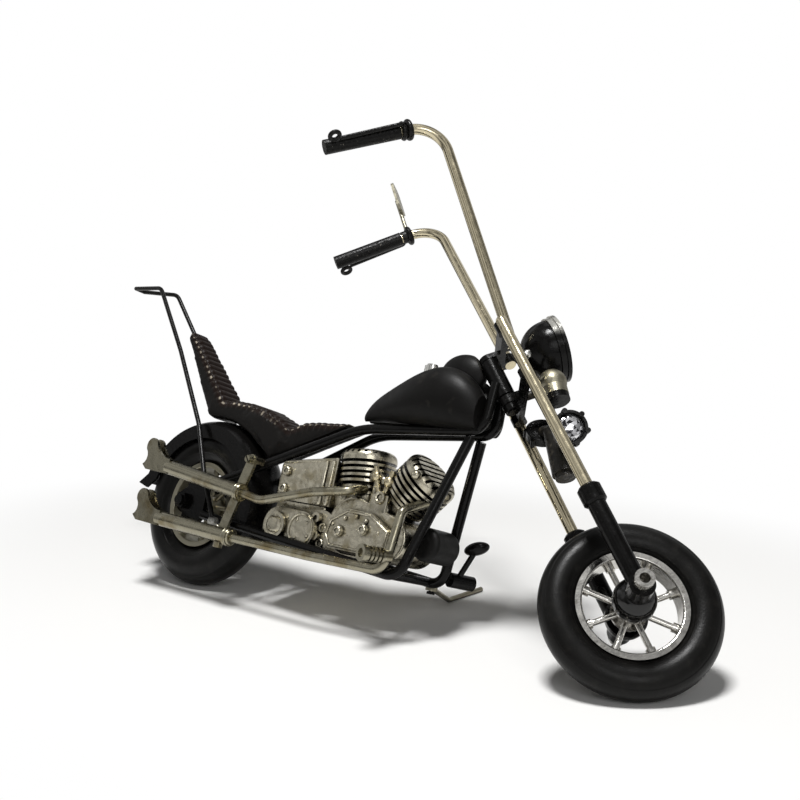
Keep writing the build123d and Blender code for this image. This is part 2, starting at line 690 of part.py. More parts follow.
def rocker_cover(place):
    """Domed head cover with ribs across its top."""
    low = FINS * FIN_PITCH + SEAM
    cover = Pos(0, 0, low + HEAD_T / 2) * Cylinder(FIN_R, HEAD_T)
    cover = fillet(cover.edges().sort_by(Axis.Z)[-1], 2.2)
    for k in range(7):
        groove = Pos(-6.0 + 2.0 * k, 0, low + HEAD_T) * Box(0.8, 20, 2.6)
        cover -= groove
    return place * cover


rear_place = barrel_place(*REAR_BARREL)
front_place = barrel_place(*FRONT_BARREL)
rear_cylinder = barrel(rear_place)
front_cylinder = barrel(front_place)
rocker_covers = Compound(children=[rocker_cover(rear_place), rocker_cover(front_place)])

INTAKE_Y = -5.0
intake = capsule((69.6, INTAKE_Y, 42.0), (73.0, INTAKE_Y, 41.0), 1.7)
intake += bar((71.2, INTAKE_Y, 41.5), (71.2, INTAKE_Y, 31.0), 1.4)
fin_room = rear_place * Pos(0, 0, 6) * Cylinder(FIN_R + SEAM, 30)
fin_room += front_place * Pos(0, 0, 6) * Cylinder(FIN_R + SEAM, 30)
intake = intake - fin_room - crankcase
intake = Compound(children=[max(intake.solids(), key=lambda s: s.volume)])

COVER_T = 2.2
timing_outline = Polyline(
    (59.6, 23.6), (60.8, 28.0), (66.6, 31.6), (75.0, 31.4), (82.4, 27.4),
    (82.0, 22.0), (76.0, 20.0), (61.6, 20.0), close=True)
timing_face = Plane.XZ * fillet(make_face(timing_outline).vertices(), 1.6)
timing_cover = Pos(0, -CASE_HALF - SEAM, 0) * extrude(timing_face, COVER_T)
timing_front = -CASE_HALF - SEAM - COVER_T
# round bosses on the cover: x, z, radius, height
TIMING_BOSSES = (
    (65.0, 25.0, 1.7, 1.0),
    (73.6, 26.6, 1.7, 1.0),
    (66.4, 28.8, 0.7, 0.5),
    (70.4, 29.7, 0.7, 0.5),
    (74.0, 29.0, 0.7, 0.5),
)
for x, z, radius, tall in TIMING_BOSSES:
    timing_cover += Pos(x, timing_front - tall / 2, z) * along_y(Cylinder(radius, tall))
    if radius > 1.0:
        timing_cover -= Pos(x, timing_front - tall, z) * along_y(Cylinder(0.45 * radius, tall))

GEARBOX_HALF = 8.0
GEARBOX_Z = 23.4
GEARBOX_CASE = ((39.8, GEARBOX_Z, 5.6), (56.0, GEARBOX_Z + 1.0, 5.6))
gearbox = round_ended(GEARBOX_CASE, -GEARBOX_HALF, GEARBOX_HALF)
gearbox = gearbox - crankcase - rear_cylinder
gearbox = max(gearbox.solids(), key=lambda s: s.volume)
gearbox_front = -GEARBOX_HALF - SEAM
GEARBOX_ENDS = ((41.0, GEARBOX_Z, 5.4), (50.5, GEARBOX_Z, 5.2))
gearbox_cover = round_ended(GEARBOX_ENDS, gearbox_front - COVER_T, gearbox_front)
gearbox_cover += Pos(GEARBOX_ENDS[0][0], gearbox_front - COVER_T - 0.6, GEARBOX_Z) * along_y(Cylinder(3.9, 1.2))
gearbox_boss = along_y(Cylinder(1.5, 1.4) - Pos(0, 0, -0.7) * Cylinder(0.7, 1.0))
for x, z in ((54.6, 27.6), (55.2, 22.6)):
    gearbox_cover += Pos(x, gearbox_front - 0.7, z) * gearbox_boss
    gearbox_cover += Pos(x - 2.4, gearbox_front - 0.4, z) * Box(4.2, 0.8, 1.4)
gearbox_cover = gearbox_cover - flip(cradle_tube())
PRIMARY_ENDS = ((66.5, 27.6, 7.4), (40.6, 27.4, 5.4))
PRIMARY_T = 3.6
primary_in = CASE_HALF + SEAM
primary_cover = round_ended(PRIMARY_ENDS, primary_in, primary_in + PRIMARY_T)
primary_cover = fillet(primary_cover.faces().sort_by(Axis.Y)[-1].edges(), 1.2)

GENERATOR_R = 4.6
generator_x = CASE_FRONT[0] + CASE_FRONT[2] + GENERATOR_R + SEAM
generator = Pos(generator_x, 0, CASE_FRONT[1] + 0.6) * along_y(Cylinder(GENERATOR_R, 11.6))
generator = fillet(generator.edges().filter_by(GeomType.CIRCLE), 1.4)

# Oil tank between the engine and the rear wheel
with BuildSketch(Plane.XZ) as oil_side:
    with BuildLine():
        Polyline((35.0, 31.2), (35.0, 40.6), (36.6, 42.4), (57.4, 45.4), (57.4, 31.2), close=True)
    make_face()
OIL_HALF = 7.9
oil_tank = extrude(oil_side.sketch, OIL_HALF, both=True)
oil_tank = fillet(oil_tank.edges().filter_by(Axis.Z).group_by(Axis.X)[0], 1.6)
oil_tank = oil_tank - rear_place * Pos(0, 0, 10) * Cylinder(FIN_R + 0.2, 40)
oil_tank = max(oil_tank.solids(), key=lambda s: s.volume)
for z in (34.4, 39.6):
    oil_tank += Pos(38.6, -OIL_HALF - 0.4, z) * along_y(Cylinder(1.5, 0.8))

# Exhausts: pipe, fatter muffler and a two-plate fishtail on each

PIPE_R = 1.3
MUFFLER_R = 2.3
EXHAUST_Y = -16.0
MUFFLER_FRONT = 30.0
MUFFLER_REAR = -5.4
# each pipe's corners from its port to its muffler
UPPER_RUN = (
    (67.4, -5.6, 38.2),
    (66.0, -11.0, 36.4),
    (56.0, -14.6, 34.2),
    (38.0, EXHAUST_Y, 29.2),
    (MUFFLER_FRONT, EXHAUST_Y, 30.4),
)
LOWER_RUN = (
    (87.4, -3.0, 37.0),
    (85.6, -10.8, 33.4),
    (85.6, -13.4, 16.8),
    (60.0, EXHAUST_Y, 16.6),
    (MUFFLER_FRONT, EXHAUST_Y, 17.0),
)
UPPER_TAIL = (MUFFLER_REAR, EXHAUST_Y, 34.5)
LOWER_TAIL = (MUFFLER_REAR + 1.2, EXHAUST_Y, 18.2)
FISH_GAP = 1.8
FISH_PLATE = 0.8


def fishtail(tail):
    """Two plates in the outline of a fish's tail, open behind."""
    with BuildSketch(Plane.XZ) as outline:
        with BuildLine():
            Polyline((2.0, -MUFFLER_R), (-8.8, -1.9), (-10.8, -0.4))
            ThreePointArc((-10.8, -0.4), (-9.2, 2.0), (-10.2, 4.4))
            ThreePointArc((-10.2, 4.4), (-8.8, 8.2), (-5.4, 6.2))
            ThreePointArc((-5.4, 6.2), (-2.2, 3.4), (2.0, MUFFLER_R))
            Line((2.0, MUFFLER_R), (2.0, -MUFFLER_R))
        make_face()
    wide = FISH_GAP + 2 * FISH_PLATE
    fin = extrude(outline.sketch, wide / 2, both=True)
    fin -= Pos(-11.0, 0, 0) * Box(20.0, FISH_GAP, 30.0)
    return Pos(*tail) * fin


def exhaust(run, bends, tail):
    pipe = rod(run, PIPE_R, bends)
    muffler = bar(run[-1], tail, MUFFLER_R)
    muffler = fillet(muffler.edges().filter_by(GeomType.CIRCLE), 0.6)
    return pipe + muffler + fishtail(tail)


upper_exhaust = exhaust(UPPER_RUN, [3.0, 6.0, 10.0], UPPER_TAIL)
lower_exhaust = exhaust(LOWER_RUN, [2.4, 4.0, 30.0], LOWER_TAIL)
upper_exhaust = upper_exhaust - rear_cylinder - timing_cover
lower_exhaust = lower_exhaust - front_cylinder

HANGER_TOP = (28.4, 40.8)
HANGER_LOW = (22.1, 17.6)
hanger_outline = make_hull((Pos(*HANGER_TOP) * Circle(1.7) + Pos(*HANGER_LOW) * Circle(1.7)).edges())
HANGER_Y = EXHAUST_Y + MUFFLER_R + SEAM
pipe_hanger = Pos(0, HANGER_Y + 1.0, 0) * extrude(Plane.XZ * hanger_outline, 1.0)
rail_spread = (RAIL_REAR[1] - RAIL_BEND[1]) / (RAIL_BEND[0] - RAIL_REAR[0])
rail_out = RAIL_BEND[1] + rail_spread * (RAIL_BEND[0] - HANGER_TOP[0])
hanger_root = (HANGER_TOP[0], -rail_out, HANGER_TOP[1])
hanger_bolt = (HANGER_TOP[0], HANGER_Y - 1.2, HANGER_TOP[1])
pipe_hanger += bar(hanger_root, hanger_bolt, 1.3)
pipe_hanger = pipe_hanger - right_top_rail - upper_exhaust - lower_exhaust
pipe_hanger = max(pipe_hanger.solids(), key=lambda s: s.volume)

# Foot controls

PEG_R = 2.1
RIGHT_PEG = ((85.6, -14.8, 20.8), (83.2, -21.4, 20.4))
right_peg_line = Vector(*RIGHT_PEG[1]) - Vector(*RIGHT_PEG[0])
right_foot_peg = bar(*RIGHT_PEG, PEG_R - 0.5)
for k in range(5):
    at = Vector(*RIGHT_PEG[0]) + right_peg_line * (0.05 + 0.17 * k)
    right_foot_peg += bar(at, at + right_peg_line * 0.1, PEG_R)
peg_end = Vector(*RIGHT_PEG[1])
right_foot_peg += bar(peg_end - right_peg_line * 0.16, peg_end, PEG_R + 0.2)
right_foot_peg -= bar(peg_end - right_peg_line * 0.1, peg_end + right_peg_line, PEG_R - 0.9)
right_foot_peg += bar(Vector(*RIGHT_PEG[0]) - right_peg_line * 0.3, RIGHT_PEG[0], PEG_R - 0.5)
right_foot_peg = right_foot_peg - lower_exhaust
right_foot_peg = max(right_foot_peg.solids(), key=lambda s: s.volume)

LEFT_PEG = ((89.4, 12.0, 18.2), (92.2, 19.4, 18.2))
left_foot_peg = bar(*LEFT_PEG, PEG_R)
left_foot_peg = left_foot_peg - left_cradle
left_foot_peg = max(left_foot_peg.solids(), key=lambda s: s.volume)
PEDAL_PAD = (95.2, 13.8, 28.0)
pedal_root = (90.4, 14.4, 18.6)
shift_pedal = bar(pedal_root, PEDAL_PAD, 0.8)
shift_pedal += Pos(*PEDAL_PAD) * Rot(0, -22, 0) * scale(Sphere(1.0), by=(3.9, 2.7, 1.8))
shift_pedal = shift_pedal - left_foot_peg

# Lean and pitch at rest: both tyres and the stand's foot on the ground

front_axle_fork = Vector(FORK_OFFSET, 0, -FORK_LEN)
FORK_AT_REST = FORK_PLANE.location * Rot(0, 0, STEER_STOP)
front_centre = (FORK_AT_REST * Pos(*front_axle_fork)).position
front_spin = (FORK_AT_REST * Pos(front_axle_fork.X, 1, front_axle_fork.Z)).position - front_centre


def turned(turn, vector):
    return (turn * Pos(*vector)).position


def lowest(turn, centre, spin, outer_r, section_r):
    """Lowest point of a round tyre after a turn."""
    upright = sqrt(1 - turned(turn, spin).Z ** 2)
    return turned(turn, centre).Z - (outer_r - section_r) * upright - section_r


def rest_turn(pitch):
    return Rot(0, pitch, 0) * Rot(-LEAN, 0, 0)


pitch = 0.0
for step in range(4):
    rear_low = lowest(rest_turn(pitch), REAR_AXLE, Vector(0, 1, 0), REAR_R, REAR_TYRE_R)
    front_low = lowest(rest_turn(pitch), front_centre, front_spin, FRONT_R, FRONT_TYRE_R)
    pitch += degrees(asin((front_low - rear_low) / (front_centre - REAR_AXLE).length))

REST = rest_turn(pitch)
up_x = turned(REST, Vector(1, 0, 0)).Z
up_y = turned(REST, Vector(0, 1, 0)).Z
up_z = turned(REST, Vector(0, 0, 1)).Z

# Side stand: a bent wire on a pin under the left rail, its foot flat on the ground

STAND_R = 0.75
STAND_PIVOT = (82.5, DOWN_LOW[1] + RAIL_R + 2.2)
STAND_FOLD = 75.0
PIN_R = 0.75
EYE_R = 1.7
EYE_T = 1.4
LUG_T = 1.4
lug_low = cradle_height(STAND_PIVOT[0]) - LUG_T / 2
eye_middle = lug_low - 0.2 - EYE_T / 2


def on_ground(x, y):
    """Place of the wire's middle when it lies on the ground."""
    return (x, y, (rear_low + STAND_R - up_x * x - up_y * y) / up_z)


STAND_ELBOW = on_ground(77.3, 31.5)
STAND_TOE = on_ground(79.0, 45.5)
side_stand = rod(
    [(STAND_PIVOT[0] - 0.2, STAND_PIVOT[1] + 0.5, eye_middle), STAND_ELBOW, STAND_TOE], STAND_R, 3.0)
side_stand += Pos(STAND_PIVOT[0], STAND_PIVOT[1], eye_middle) * Cylinder(EYE_R, EYE_T)
side_stand -= Pos(STAND_PIVOT[0], STAND_PIVOT[1], eye_middle) * Cylinder(PIN_R + RUN, 4 * EYE_T)

pin_low = eye_middle - EYE_T / 2 - 0.2
stand_lug = Pos(STAND_PIVOT[0], (DOWN_LOW[1] + STAND_PIVOT[1]) / 2, lug_low + LUG_T / 2) * Box(
    4.0, STAND_PIVOT[1] - DOWN_LOW[1], LUG_T)
stand_lug += Pos(*STAND_PIVOT, lug_low + LUG_T / 2) * Cylinder(2.0, LUG_T)
stand_lug += Pos(*STAND_PIVOT, (pin_low + lug_low) / 2) * Cylinder(PIN_R, lug_low - pin_low)
stand_lug += Pos(*STAND_PIVOT, pin_low - 0.4) * Cylinder(1.2, 0.8)
stand_lug = stand_lug - left_cradle
stand_lug = max(stand_lug.solids(), key=lambda s: s.volume)

# Where each piece belongs: the frame's pieces, the steered fork's, and the wheels'

FRAME_PIECES = dict(
    neck=neck, right_top_rail=right_top_rail, left_top_rail=left_top_rail, right_cradle=right_cradle,
    left_cradle=left_cradle, cross_tubes=cross_tubes, axle_plates=axle_plates, rear_axle=rear_axle,
    fuel_tank=fuel_tank, console=console, filler_cap=filler_cap, seat=seat, rear_fender=rear_fender,
    sissy_bar=sissy_bar, crankcase=crankcase, rear_cylinder=rear_cylinder, front_cylinder=front_cylinder,
    rocker_covers=rocker_covers, intake=intake,
    timing_cover=timing_cover, gearbox=gearbox, gearbox_cover=gearbox_cover, primary_cover=primary_cover,
    generator=generator, oil_tank=oil_tank, upper_exhaust=upper_exhaust, lower_exhaust=lower_exhaust,
    pipe_hanger=pipe_hanger, right_foot_peg=right_foot_peg, left_foot_peg=left_foot_peg,
    shift_pedal=shift_pedal, stand_lug=stand_lug, side_stand=side_stand)
FORK_PIECES = dict(
    fork_clamps=fork_clamps, fork_tubes=fork_tubes, fork_sliders=fork_sliders, front_axle=front_axle,
    handlebars=handlebars, grips=grips, levers=levers, handlebar_mirror=handlebar_mirror,
    headlamp_shell=headlamp_shell, headlamp_ring=headlamp_ring, headlamp_lens=headlamp_lens,
    lamp_bracket=lamp_bracket, spot_settings=spot_settings, spot_stones=spot_stones,
    bullet_lamp=bullet_lamp, bullet_rim=bullet_rim)
FRONT_WHEEL_PIECES = dict(
    front_tyre=front_tyre, front_wheel=front_wheel, front_hub_covers=front_hub_covers)
REAR_WHEEL_PIECES = dict(
    rear_tyre=rear_tyre, rear_wheel=rear_wheel, rear_disc=rear_disc, rear_sprocket=rear_sprocket)

FRONT_WHEEL_AT_REST = FORK_AT_REST * Pos(*front_axle_fork)
placed = {}
for pieces, place in (
    (FRAME_PIECES, REST),
    (FORK_PIECES, REST * FORK_AT_REST),
    (FRONT_WHEEL_PIECES, REST * FRONT_WHEEL_AT_REST),
    (REAR_WHEEL_PIECES, REST * Pos(*REAR_AXLE)),
):
    for name, shape in pieces.items():
        placed[name] = place * shape

boxes = [shape.bounding_box() for shape in placed.values()]
middle_x = (min(b.min.X for b in boxes) + max(b.max.X for b in boxes)) / 2
middle_y = (min(b.min.Y for b in boxes) + max(b.max.Y for b in boxes)) / 2
GROUND = Pos(-middle_x, -middle_y, -rear_low)

os.makedirs("parts", exist_ok=True)
for name, shape in placed.items():
    export_step(GROUND * shape, f"parts/{name}.step")


def show_joint(name, place, origin, direction):
    """Print a joint's place and axis in the standing frame, in millimetres."""
    at = turned(GROUND * place, origin)
    axis = turned(GROUND * place, origin + direction) - at
    print(name, [round(v, 4) for v in at], [round(v, 6) for v in axis])


Z_AXIS = Vector(0, 0, 1)
Y_AXIS = Vector(0, 1, 0)
show_joint("steering", REST * FORK_AT_REST, Vector(0, 0, 0), Z_AXIS)
show_joint("front_wheel_spin", REST * FRONT_WHEEL_AT_REST, Vector(0, 0, 0), Y_AXIS)
show_joint("rear_wheel_spin", REST, REAR_AXLE, Y_AXIS)
show_joint("side_stand_fold", REST, Vector(*STAND_PIVOT, eye_middle), Z_AXIS)
print("ranges in degrees: steering", [-2 * STEER_STOP, 0], "side stand", [0, STAND_FOLD])
show_joint("front_axle_bore", REST * FORK_AT_REST, front_axle_fork - Y_AXIS * axle_half, Y_AXIS)
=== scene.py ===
import json
import math
import random
import bmesh
import bpy
from mathutils import Matrix, Vector


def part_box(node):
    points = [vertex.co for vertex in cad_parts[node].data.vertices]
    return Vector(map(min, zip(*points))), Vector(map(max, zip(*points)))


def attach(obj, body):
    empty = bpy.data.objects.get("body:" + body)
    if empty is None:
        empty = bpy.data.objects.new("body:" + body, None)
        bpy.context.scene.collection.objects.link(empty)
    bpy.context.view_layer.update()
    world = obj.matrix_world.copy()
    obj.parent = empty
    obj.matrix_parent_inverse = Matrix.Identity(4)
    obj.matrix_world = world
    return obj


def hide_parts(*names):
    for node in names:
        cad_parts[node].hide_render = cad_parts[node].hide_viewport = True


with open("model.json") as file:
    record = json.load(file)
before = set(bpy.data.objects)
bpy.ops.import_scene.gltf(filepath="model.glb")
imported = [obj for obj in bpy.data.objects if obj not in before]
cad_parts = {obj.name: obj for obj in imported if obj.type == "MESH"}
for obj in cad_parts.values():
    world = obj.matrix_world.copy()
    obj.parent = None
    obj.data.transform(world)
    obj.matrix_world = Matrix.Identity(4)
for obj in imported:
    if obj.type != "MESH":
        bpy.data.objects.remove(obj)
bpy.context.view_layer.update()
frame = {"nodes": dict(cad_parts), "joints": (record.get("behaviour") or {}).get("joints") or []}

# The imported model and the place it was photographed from: from its front right, a little above
# the bars, with a short lens. The machine's own upright frame and the fork's frame are read from
# the joints, so that pieces can be drawn in millimetres on them.
joints = {joint["name"]: joint for joint in frame["joints"]}


def drawn_on(origin, across, up):
    """A frame in millimetres with its y across the machine and z up, in the row's metres."""
    y = Vector(across).normalized()
    z = Vector(up).normalized()
    turn = Matrix((y.cross(z), y, z)).transposed().to_4x4()
    return Matrix.Translation(origin) @ turn @ Matrix.Scale(0.001, 4)


rear_centre = Vector(joints["rear_wheel_spin"]["pos_m"])
rear_across = joints["rear_wheel_spin"]["axis"]
machine = drawn_on(rear_centre, rear_across, joints["side_stand_fold"]["axis"])
machine = machine @ Matrix.Translation((0, 0, -25.2))
fork = drawn_on(joints["steering"]["pos_m"], joints["front_wheel_spin"]["axis"], joints["steering"]["axis"])

viewpoint_lens = bpy.data.cameras.new("viewpoint")
viewpoint_lens.lens = 46.488
viewpoint_lens.sensor_width = 36
viewpoint = bpy.data.objects.new("viewpoint", viewpoint_lens)
bpy.context.scene.collection.objects.link(viewpoint)
sight_right = Vector((0.78303, 0.58770, 0.20366))
sight_down = Vector((0.06598, 0.24711, -0.96674))
sight_ahead = Vector((-0.61848, 0.77042, 0.15472))
machine_turn = machine.to_3x3().normalized().to_4x4()
viewpoint.matrix_world = (
    Matrix.Translation(machine @ Vector((253.56, -230.569, 19.25)))
    @ machine_turn @ Matrix((sight_right, -sight_down, -sight_ahead)).transposed().to_4x4())
bpy.context.scene.camera = viewpoint

# Frame: steel rod bent and welded into a cradle with two top rails, a neck tube for the steering
# stem and a plate at each end of the rear axle, all dipped in gloss black enamel that has
# gathered unevenly and carries a little dust.


def new_finish(name, colour, metallic, roughness):
    """A finish whose shader starts with one colour, metal share and roughness."""
    finish = bpy.data.materials.new(name)
    finish.use_nodes = True
    shader = finish.node_tree.nodes["Principled BSDF"]
    shader.inputs["Base Color"].default_value = (*colour, 1)
    shader.inputs["Metallic"].default_value = metallic
    shader.inputs["Roughness"].default_value = roughness
    return finish


def grain(finish, per_metre, detail=4.0, stretch=(1, 1, 1)):
    """Cloudy noise over the piece, so many clouds to the metre."""
    tree = finish.node_tree
    where = tree.nodes.new("ShaderNodeTexCoord")
    stretching = tree.nodes.new("ShaderNodeMapping")
    stretching.inputs["Scale"].default_value = stretch
    noise = tree.nodes.new("ShaderNodeTexNoise")
    noise.inputs["Scale"].default_value = per_metre
    noise.inputs["Detail"].default_value = detail
    tree.links.new(where.outputs["Object"], stretching.inputs["Vector"])
    tree.links.new(stretching.outputs["Vector"], noise.inputs["Vector"])
    return noise.outputs["Fac"]


def recess(finish, reach):
    """How shut in a spot is, from 0 in the open to 1 in a corner, within reach in metres."""
    tree = finish.node_tree
    shut = tree.nodes.new("ShaderNodeAmbientOcclusion")
    shut.samples = 8
    shut.inputs["Distance"].default_value = reach
    turned = tree.nodes.new("ShaderNodeMapRange")
    turned.inputs["To Min"].default_value = 1
    turned.inputs["To Max"].default_value = 0
    tree.links.new(shut.outputs["AO"], turned.inputs["Value"])
    return turned.outputs["Result"]


def between(finish, value, low, high, at_low=0.0, at_high=1.0):
    """The value spread from low to high onto another pair of numbers, and held past them."""
    tree = finish.node_tree
    spread = tree.nodes.new("ShaderNodeMapRange")
    spread.inputs["From Min"].default_value = low
    spread.inputs["From Max"].default_value = high
    spread.inputs["To Min"].default_value = at_low
    spread.inputs["To Max"].default_value = at_high
    tree.links.new(value, spread.inputs["Value"])
    return spread.outputs["Result"]


def stain(finish, share, colour):
    """Lay another colour over the finish where share is high."""
    tree = finish.node_tree
    base = tree.nodes["Principled BSDF"].inputs["Base Color"]
    mix = tree.nodes.new("ShaderNodeMix")
    mix.data_type = "RGBA"
    mix.inputs[7].default_value = (*colour, 1)
    if base.is_linked:
        tree.links.new(base.links[0].from_socket, mix.inputs[6])
    else:
        mix.inputs[6].default_value = base.default_value
    tree.links.new(share, mix.inputs[0])
    tree.links.new(mix.outputs[2], base)


def gloss(finish, roughness):
    """Let a pattern set the roughness."""
    tree = finish.node_tree
    tree.links.new(roughness, tree.nodes["Principled BSDF"].inputs["Roughness"])


def relief(finish, height, deep):
    """Raise the surface by a pattern, deep in metres from its 0 to its 1."""
    tree = finish.node_tree
    normal = tree.nodes["Principled BSDF"].inputs["Normal"]
    bump = tree.nodes.new("ShaderNodeBump")
    bump.inputs["Strength"].default_value = 1
    bump.inputs["Distance"].default_value = deep
    if normal.is_linked:
        tree.links.new(normal.links[0].from_socket, bump.inputs["Normal"])
    tree.links.new(height, bump.inputs["Height"])
    tree.links.new(bump.outputs["Normal"], normal)


def coat(finish, *names):
    """Give CAD pieces a finish."""
    for name in names:
        slots = frame["nodes"][name].data.materials
        slots.clear()
        slots.append(finish)


def mirror_share(finish, level):
    """Set how strongly a finish that isn't metal mirrors what faces it; 0.5 is the usual."""
    finish.node_tree.nodes["Principled BSDF"].inputs["Specular IOR Level"].default_value = level


black_enamel = new_finish("black_enamel", (0.0036, 0.0034, 0.0032), 0.0, 0.25)
mirror_share(black_enamel, 0.14)
gloss(black_enamel, between(black_enamel, grain(black_enamel, 260, 6), 0.35, 0.7, 0.14, 0.32))
relief(black_enamel, grain(black_enamel, 900, 3), 0.00007)
dust = between(black_enamel, grain(black_enamel, 1500, 9), 0.68, 0.80, 0.0, 0.5)
stain(black_enamel, dust, (0.08, 0.075, 0.066))
coat(
    black_enamel, "neck", "right_top_rail", "left_top_rail", "right_cradle", "left_cradle", "cross_tubes",
    "axle_plates", "stand_lug")

# Rear wheel: a fat smooth rubber tyre on a cast wheel with stepped spokes, plated a dull warm
# silver, with a black lobed disc on its right and a sprocket on its left. It turns on a black
# steel axle held by a nut at each plate.


def from_axle(finish, joint):
    """Distance out from a wheel's axle, in metres."""
    tree = finish.node_tree
    where = tree.nodes.new("ShaderNodeTexCoord")
    centred = tree.nodes.new("ShaderNodeVectorMath")
    centred.operation = "SUBTRACT"
    centred.inputs[1].default_value = joint["pos_m"]
    crossed = tree.nodes.new("ShaderNodeVectorMath")
    crossed.operation = "CROSS_PRODUCT"
    crossed.inputs[1].default_value = Vector(joint["axis"]).normalized()
    length = tree.nodes.new("ShaderNodeVectorMath")
    length.operation = "LENGTH"
    tree.links.new(where.outputs["Object"], centred.inputs[0])
    tree.links.new(centred.outputs["Vector"], crossed.inputs[0])
    tree.links.new(crossed.outputs["Vector"], length.inputs[0])
    return length.outputs["Value"]


def tyre_finish(name, joint, outer):
    """Black rubber with two mould lines on the sidewall and rubbed, greyer shoulders."""
    rubber = new_finish(name, (0.0040, 0.0038, 0.0034), 0.0, 0.34)
    mirror_share(rubber, 0.16)
    out = from_axle(rubber, joint)
    gloss(rubber, between(rubber, grain(rubber, 170, 6), 0.3, 0.7, 0.28, 0.42))
    relief(rubber, grain(rubber, 2300, 4), 0.00004)
    for share in (0.66, 0.93):
        relief(rubber, between(rubber, out, share * outer - 0.00015, share * outer + 0.00015), 0.00012)
    rubbed = between(rubber, grain(rubber, 420, 8), 0.52, 0.80, 0.0, 0.55)
    stain(rubber, rubbed, (0.015, 0.0138, 0.0118))
    return rubber


coat(tyre_finish("rear_rubber", joints["rear_wheel_spin"], 0.0252), "rear_tyre")

dull_plate = new_finish("dull_plate", (0.32, 0.30, 0.23), 1.0, 0.36)
gloss(dull_plate, between(dull_plate, grain(dull_plate, 420, 6), 0.3, 0.7, 0.28, 0.5))
stain(
    dull_plate, between(dull_plate, grain(dull_plate, 230, 7), 0.55, 0.75, 0.0, 0.6),
    (0.22, 0.18, 0.10))
# Painted shade: the plate darkens towards black in its recesses, between the spokes and at the hub.
stain(
    dull_plate, between(dull_plate, recess(dull_plate, 0.005), 0.3, 0.9, 0.0, 0.85),
    (0.04, 0.034, 0.024))
relief(dull_plate, grain(dull_plate, 1100, 4), 0.00006)
coat(dull_plate, "rear_wheel")
coat(black_enamel, "rear_disc", "rear_sprocket", "rear_axle")

# Rear fender: a sheet-metal arch rolled over the tyre with a flicked tail, fixed under the seat and
# dipped in the same black enamel as the frame.
coat(black_enamel, "rear_fender")

# Engine, gearbox and oil tank: castings in a bright white metal, tinted warm by old lacquer, with
# painted shade darkening the recesses between fins, ribs and bosses. Slotted screws, rivets and ringed
# holes hold and mark its covers, and two push-rods with round cups rise from a tappet block.


def made(name, bm, place, finish, body):
    """A new piece from a drawn shape: put in its place, finished and fixed to its body."""
    bmesh.ops.transform(bm, matrix=place, verts=bm.verts[:])
    mesh = bpy.data.meshes.new(name)
    bm.to_mesh(mesh)
    bm.free()
    mesh.shade_smooth()
    mesh.set_sharp_from_angle(angle=math.radians(38))
    mesh.materials.append(finish)
    piece = bpy.data.objects.new(name, mesh)
    bpy.context.scene.collection.objects.link(piece)
    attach(piece, body)
    return piece


def facing(at, way):
    """A place whose z looks a given way."""
    return Matrix.Translation(at) @ Vector((0, 0, 1)).rotation_difference(Vector(way)).to_matrix().to_4x4()


def gather(bm, one, place):
    """Add one drawn shape to a piece, in its place, with any open foot closed."""
    bmesh.ops.holes_fill(one, edges=one.edges[:], sides=0)
    bmesh.ops.recalc_face_normals(one, faces=one.faces[:])
    bmesh.ops.transform(one, matrix=place, verts=one.verts[:])
    shape = bpy.data.meshes.new("shape")
    one.to_mesh(shape)
    one.free()
    bm.from_mesh(shape)
    bpy.data.meshes.remove(shape)


def turned(bm, profile, place, steps=20):
    """A turned piece: a profile of radius and height, from the axis round to the axis or a foot."""
    one = bmesh.new()
    line = [one.verts.new((radius, 0, height)) for radius, height in profile]
    edges = [one.edges.new(pair) for pair in zip(line, line[1:])]
    bmesh.ops.spin(
        one, geom=line + edges, cent=(0, 0, 0), axis=(0, 0, 1), angle=math.tau, steps=steps, use_merge=True)
    bmesh.ops.remove_doubles(one, verts=one.verts[:], dist=0.0005)
    gather(bm, one, place)


def slotted_screw(bm, at, way, radius, tall):
    """A slotted head standing on a surface."""
    one = bmesh.new()
    bmesh.ops.create_cone(
        one, cap_ends=True, segments=20, radius1=radius, radius2=0.84 * radius, depth=tall)
    half_slot = 0.17 * radius
    for x in (-half_slot, half_slot):
        everything = one.verts[:] + one.edges[:] + one.faces[:]
        bmesh.ops.bisect_plane(one, geom=everything, plane_co=(x, 0, 0), plane_no=(1, 0, 0))
    one.normal_update()
    strip = [f for f in one.faces if f.normal.z > 0.9 and abs(f.calc_center_median().x) < half_slot]
    sunk = bmesh.ops.extrude_face_region(one, geom=strip)["geom"]
    bmesh.ops.delete(one, geom=strip, context="FACES_ONLY")
    sunk = [v for v in sunk if isinstance(v, bmesh.types.BMVert)]
    bmesh.ops.translate(one, vec=(0, 0, -0.55 * tall), verts=sunk)
    gather(bm, one, facing(at, way) @ Matrix.Translation((0, 0, 0.4 * tall)) @ Matrix.Rotation(0.7, 4, "Z"))


white_metal = new_finish("white_metal", (0.52, 0.485, 0.385), 1.0, 0.30)
gloss(white_metal, between(white_metal, grain(white_metal, 480, 6), 0.3, 0.7, 0.16, 0.38))
stain(
    white_metal, between(white_metal, grain(white_metal, 240, 6), 0.50, 0.68, 0.0, 0.6),
    (0.25, 0.205, 0.105))
# Painted shade: the castings go near black in the recesses between fins, ribs and bosses.
stain(
    white_metal, between(white_metal, recess(white_metal, 0.0028), 0.22, 0.60, 0.0, 0.98),
    (0.006, 0.005, 0.0035))
relief(white_metal, grain(white_metal, 420, 5), 0.00022)
coat(
    white_metal, "crankcase", "rear_cylinder", "front_cylinder", "rocker_covers", "timing_cover", "gearbox",
    "gearbox_cover", "primary_cover", "oil_tank", "intake")
satin_black = new_finish("satin_black", (0.0065, 0.0063, 0.0058), 0.0, 0.5)
mirror_share(satin_black, 0.14)
gloss(satin_black, between(satin_black, grain(satin_black, 300, 6), 0.3, 0.7, 0.38, 0.55))
relief(satin_black, grain(satin_black, 1600, 3), 0.00004)
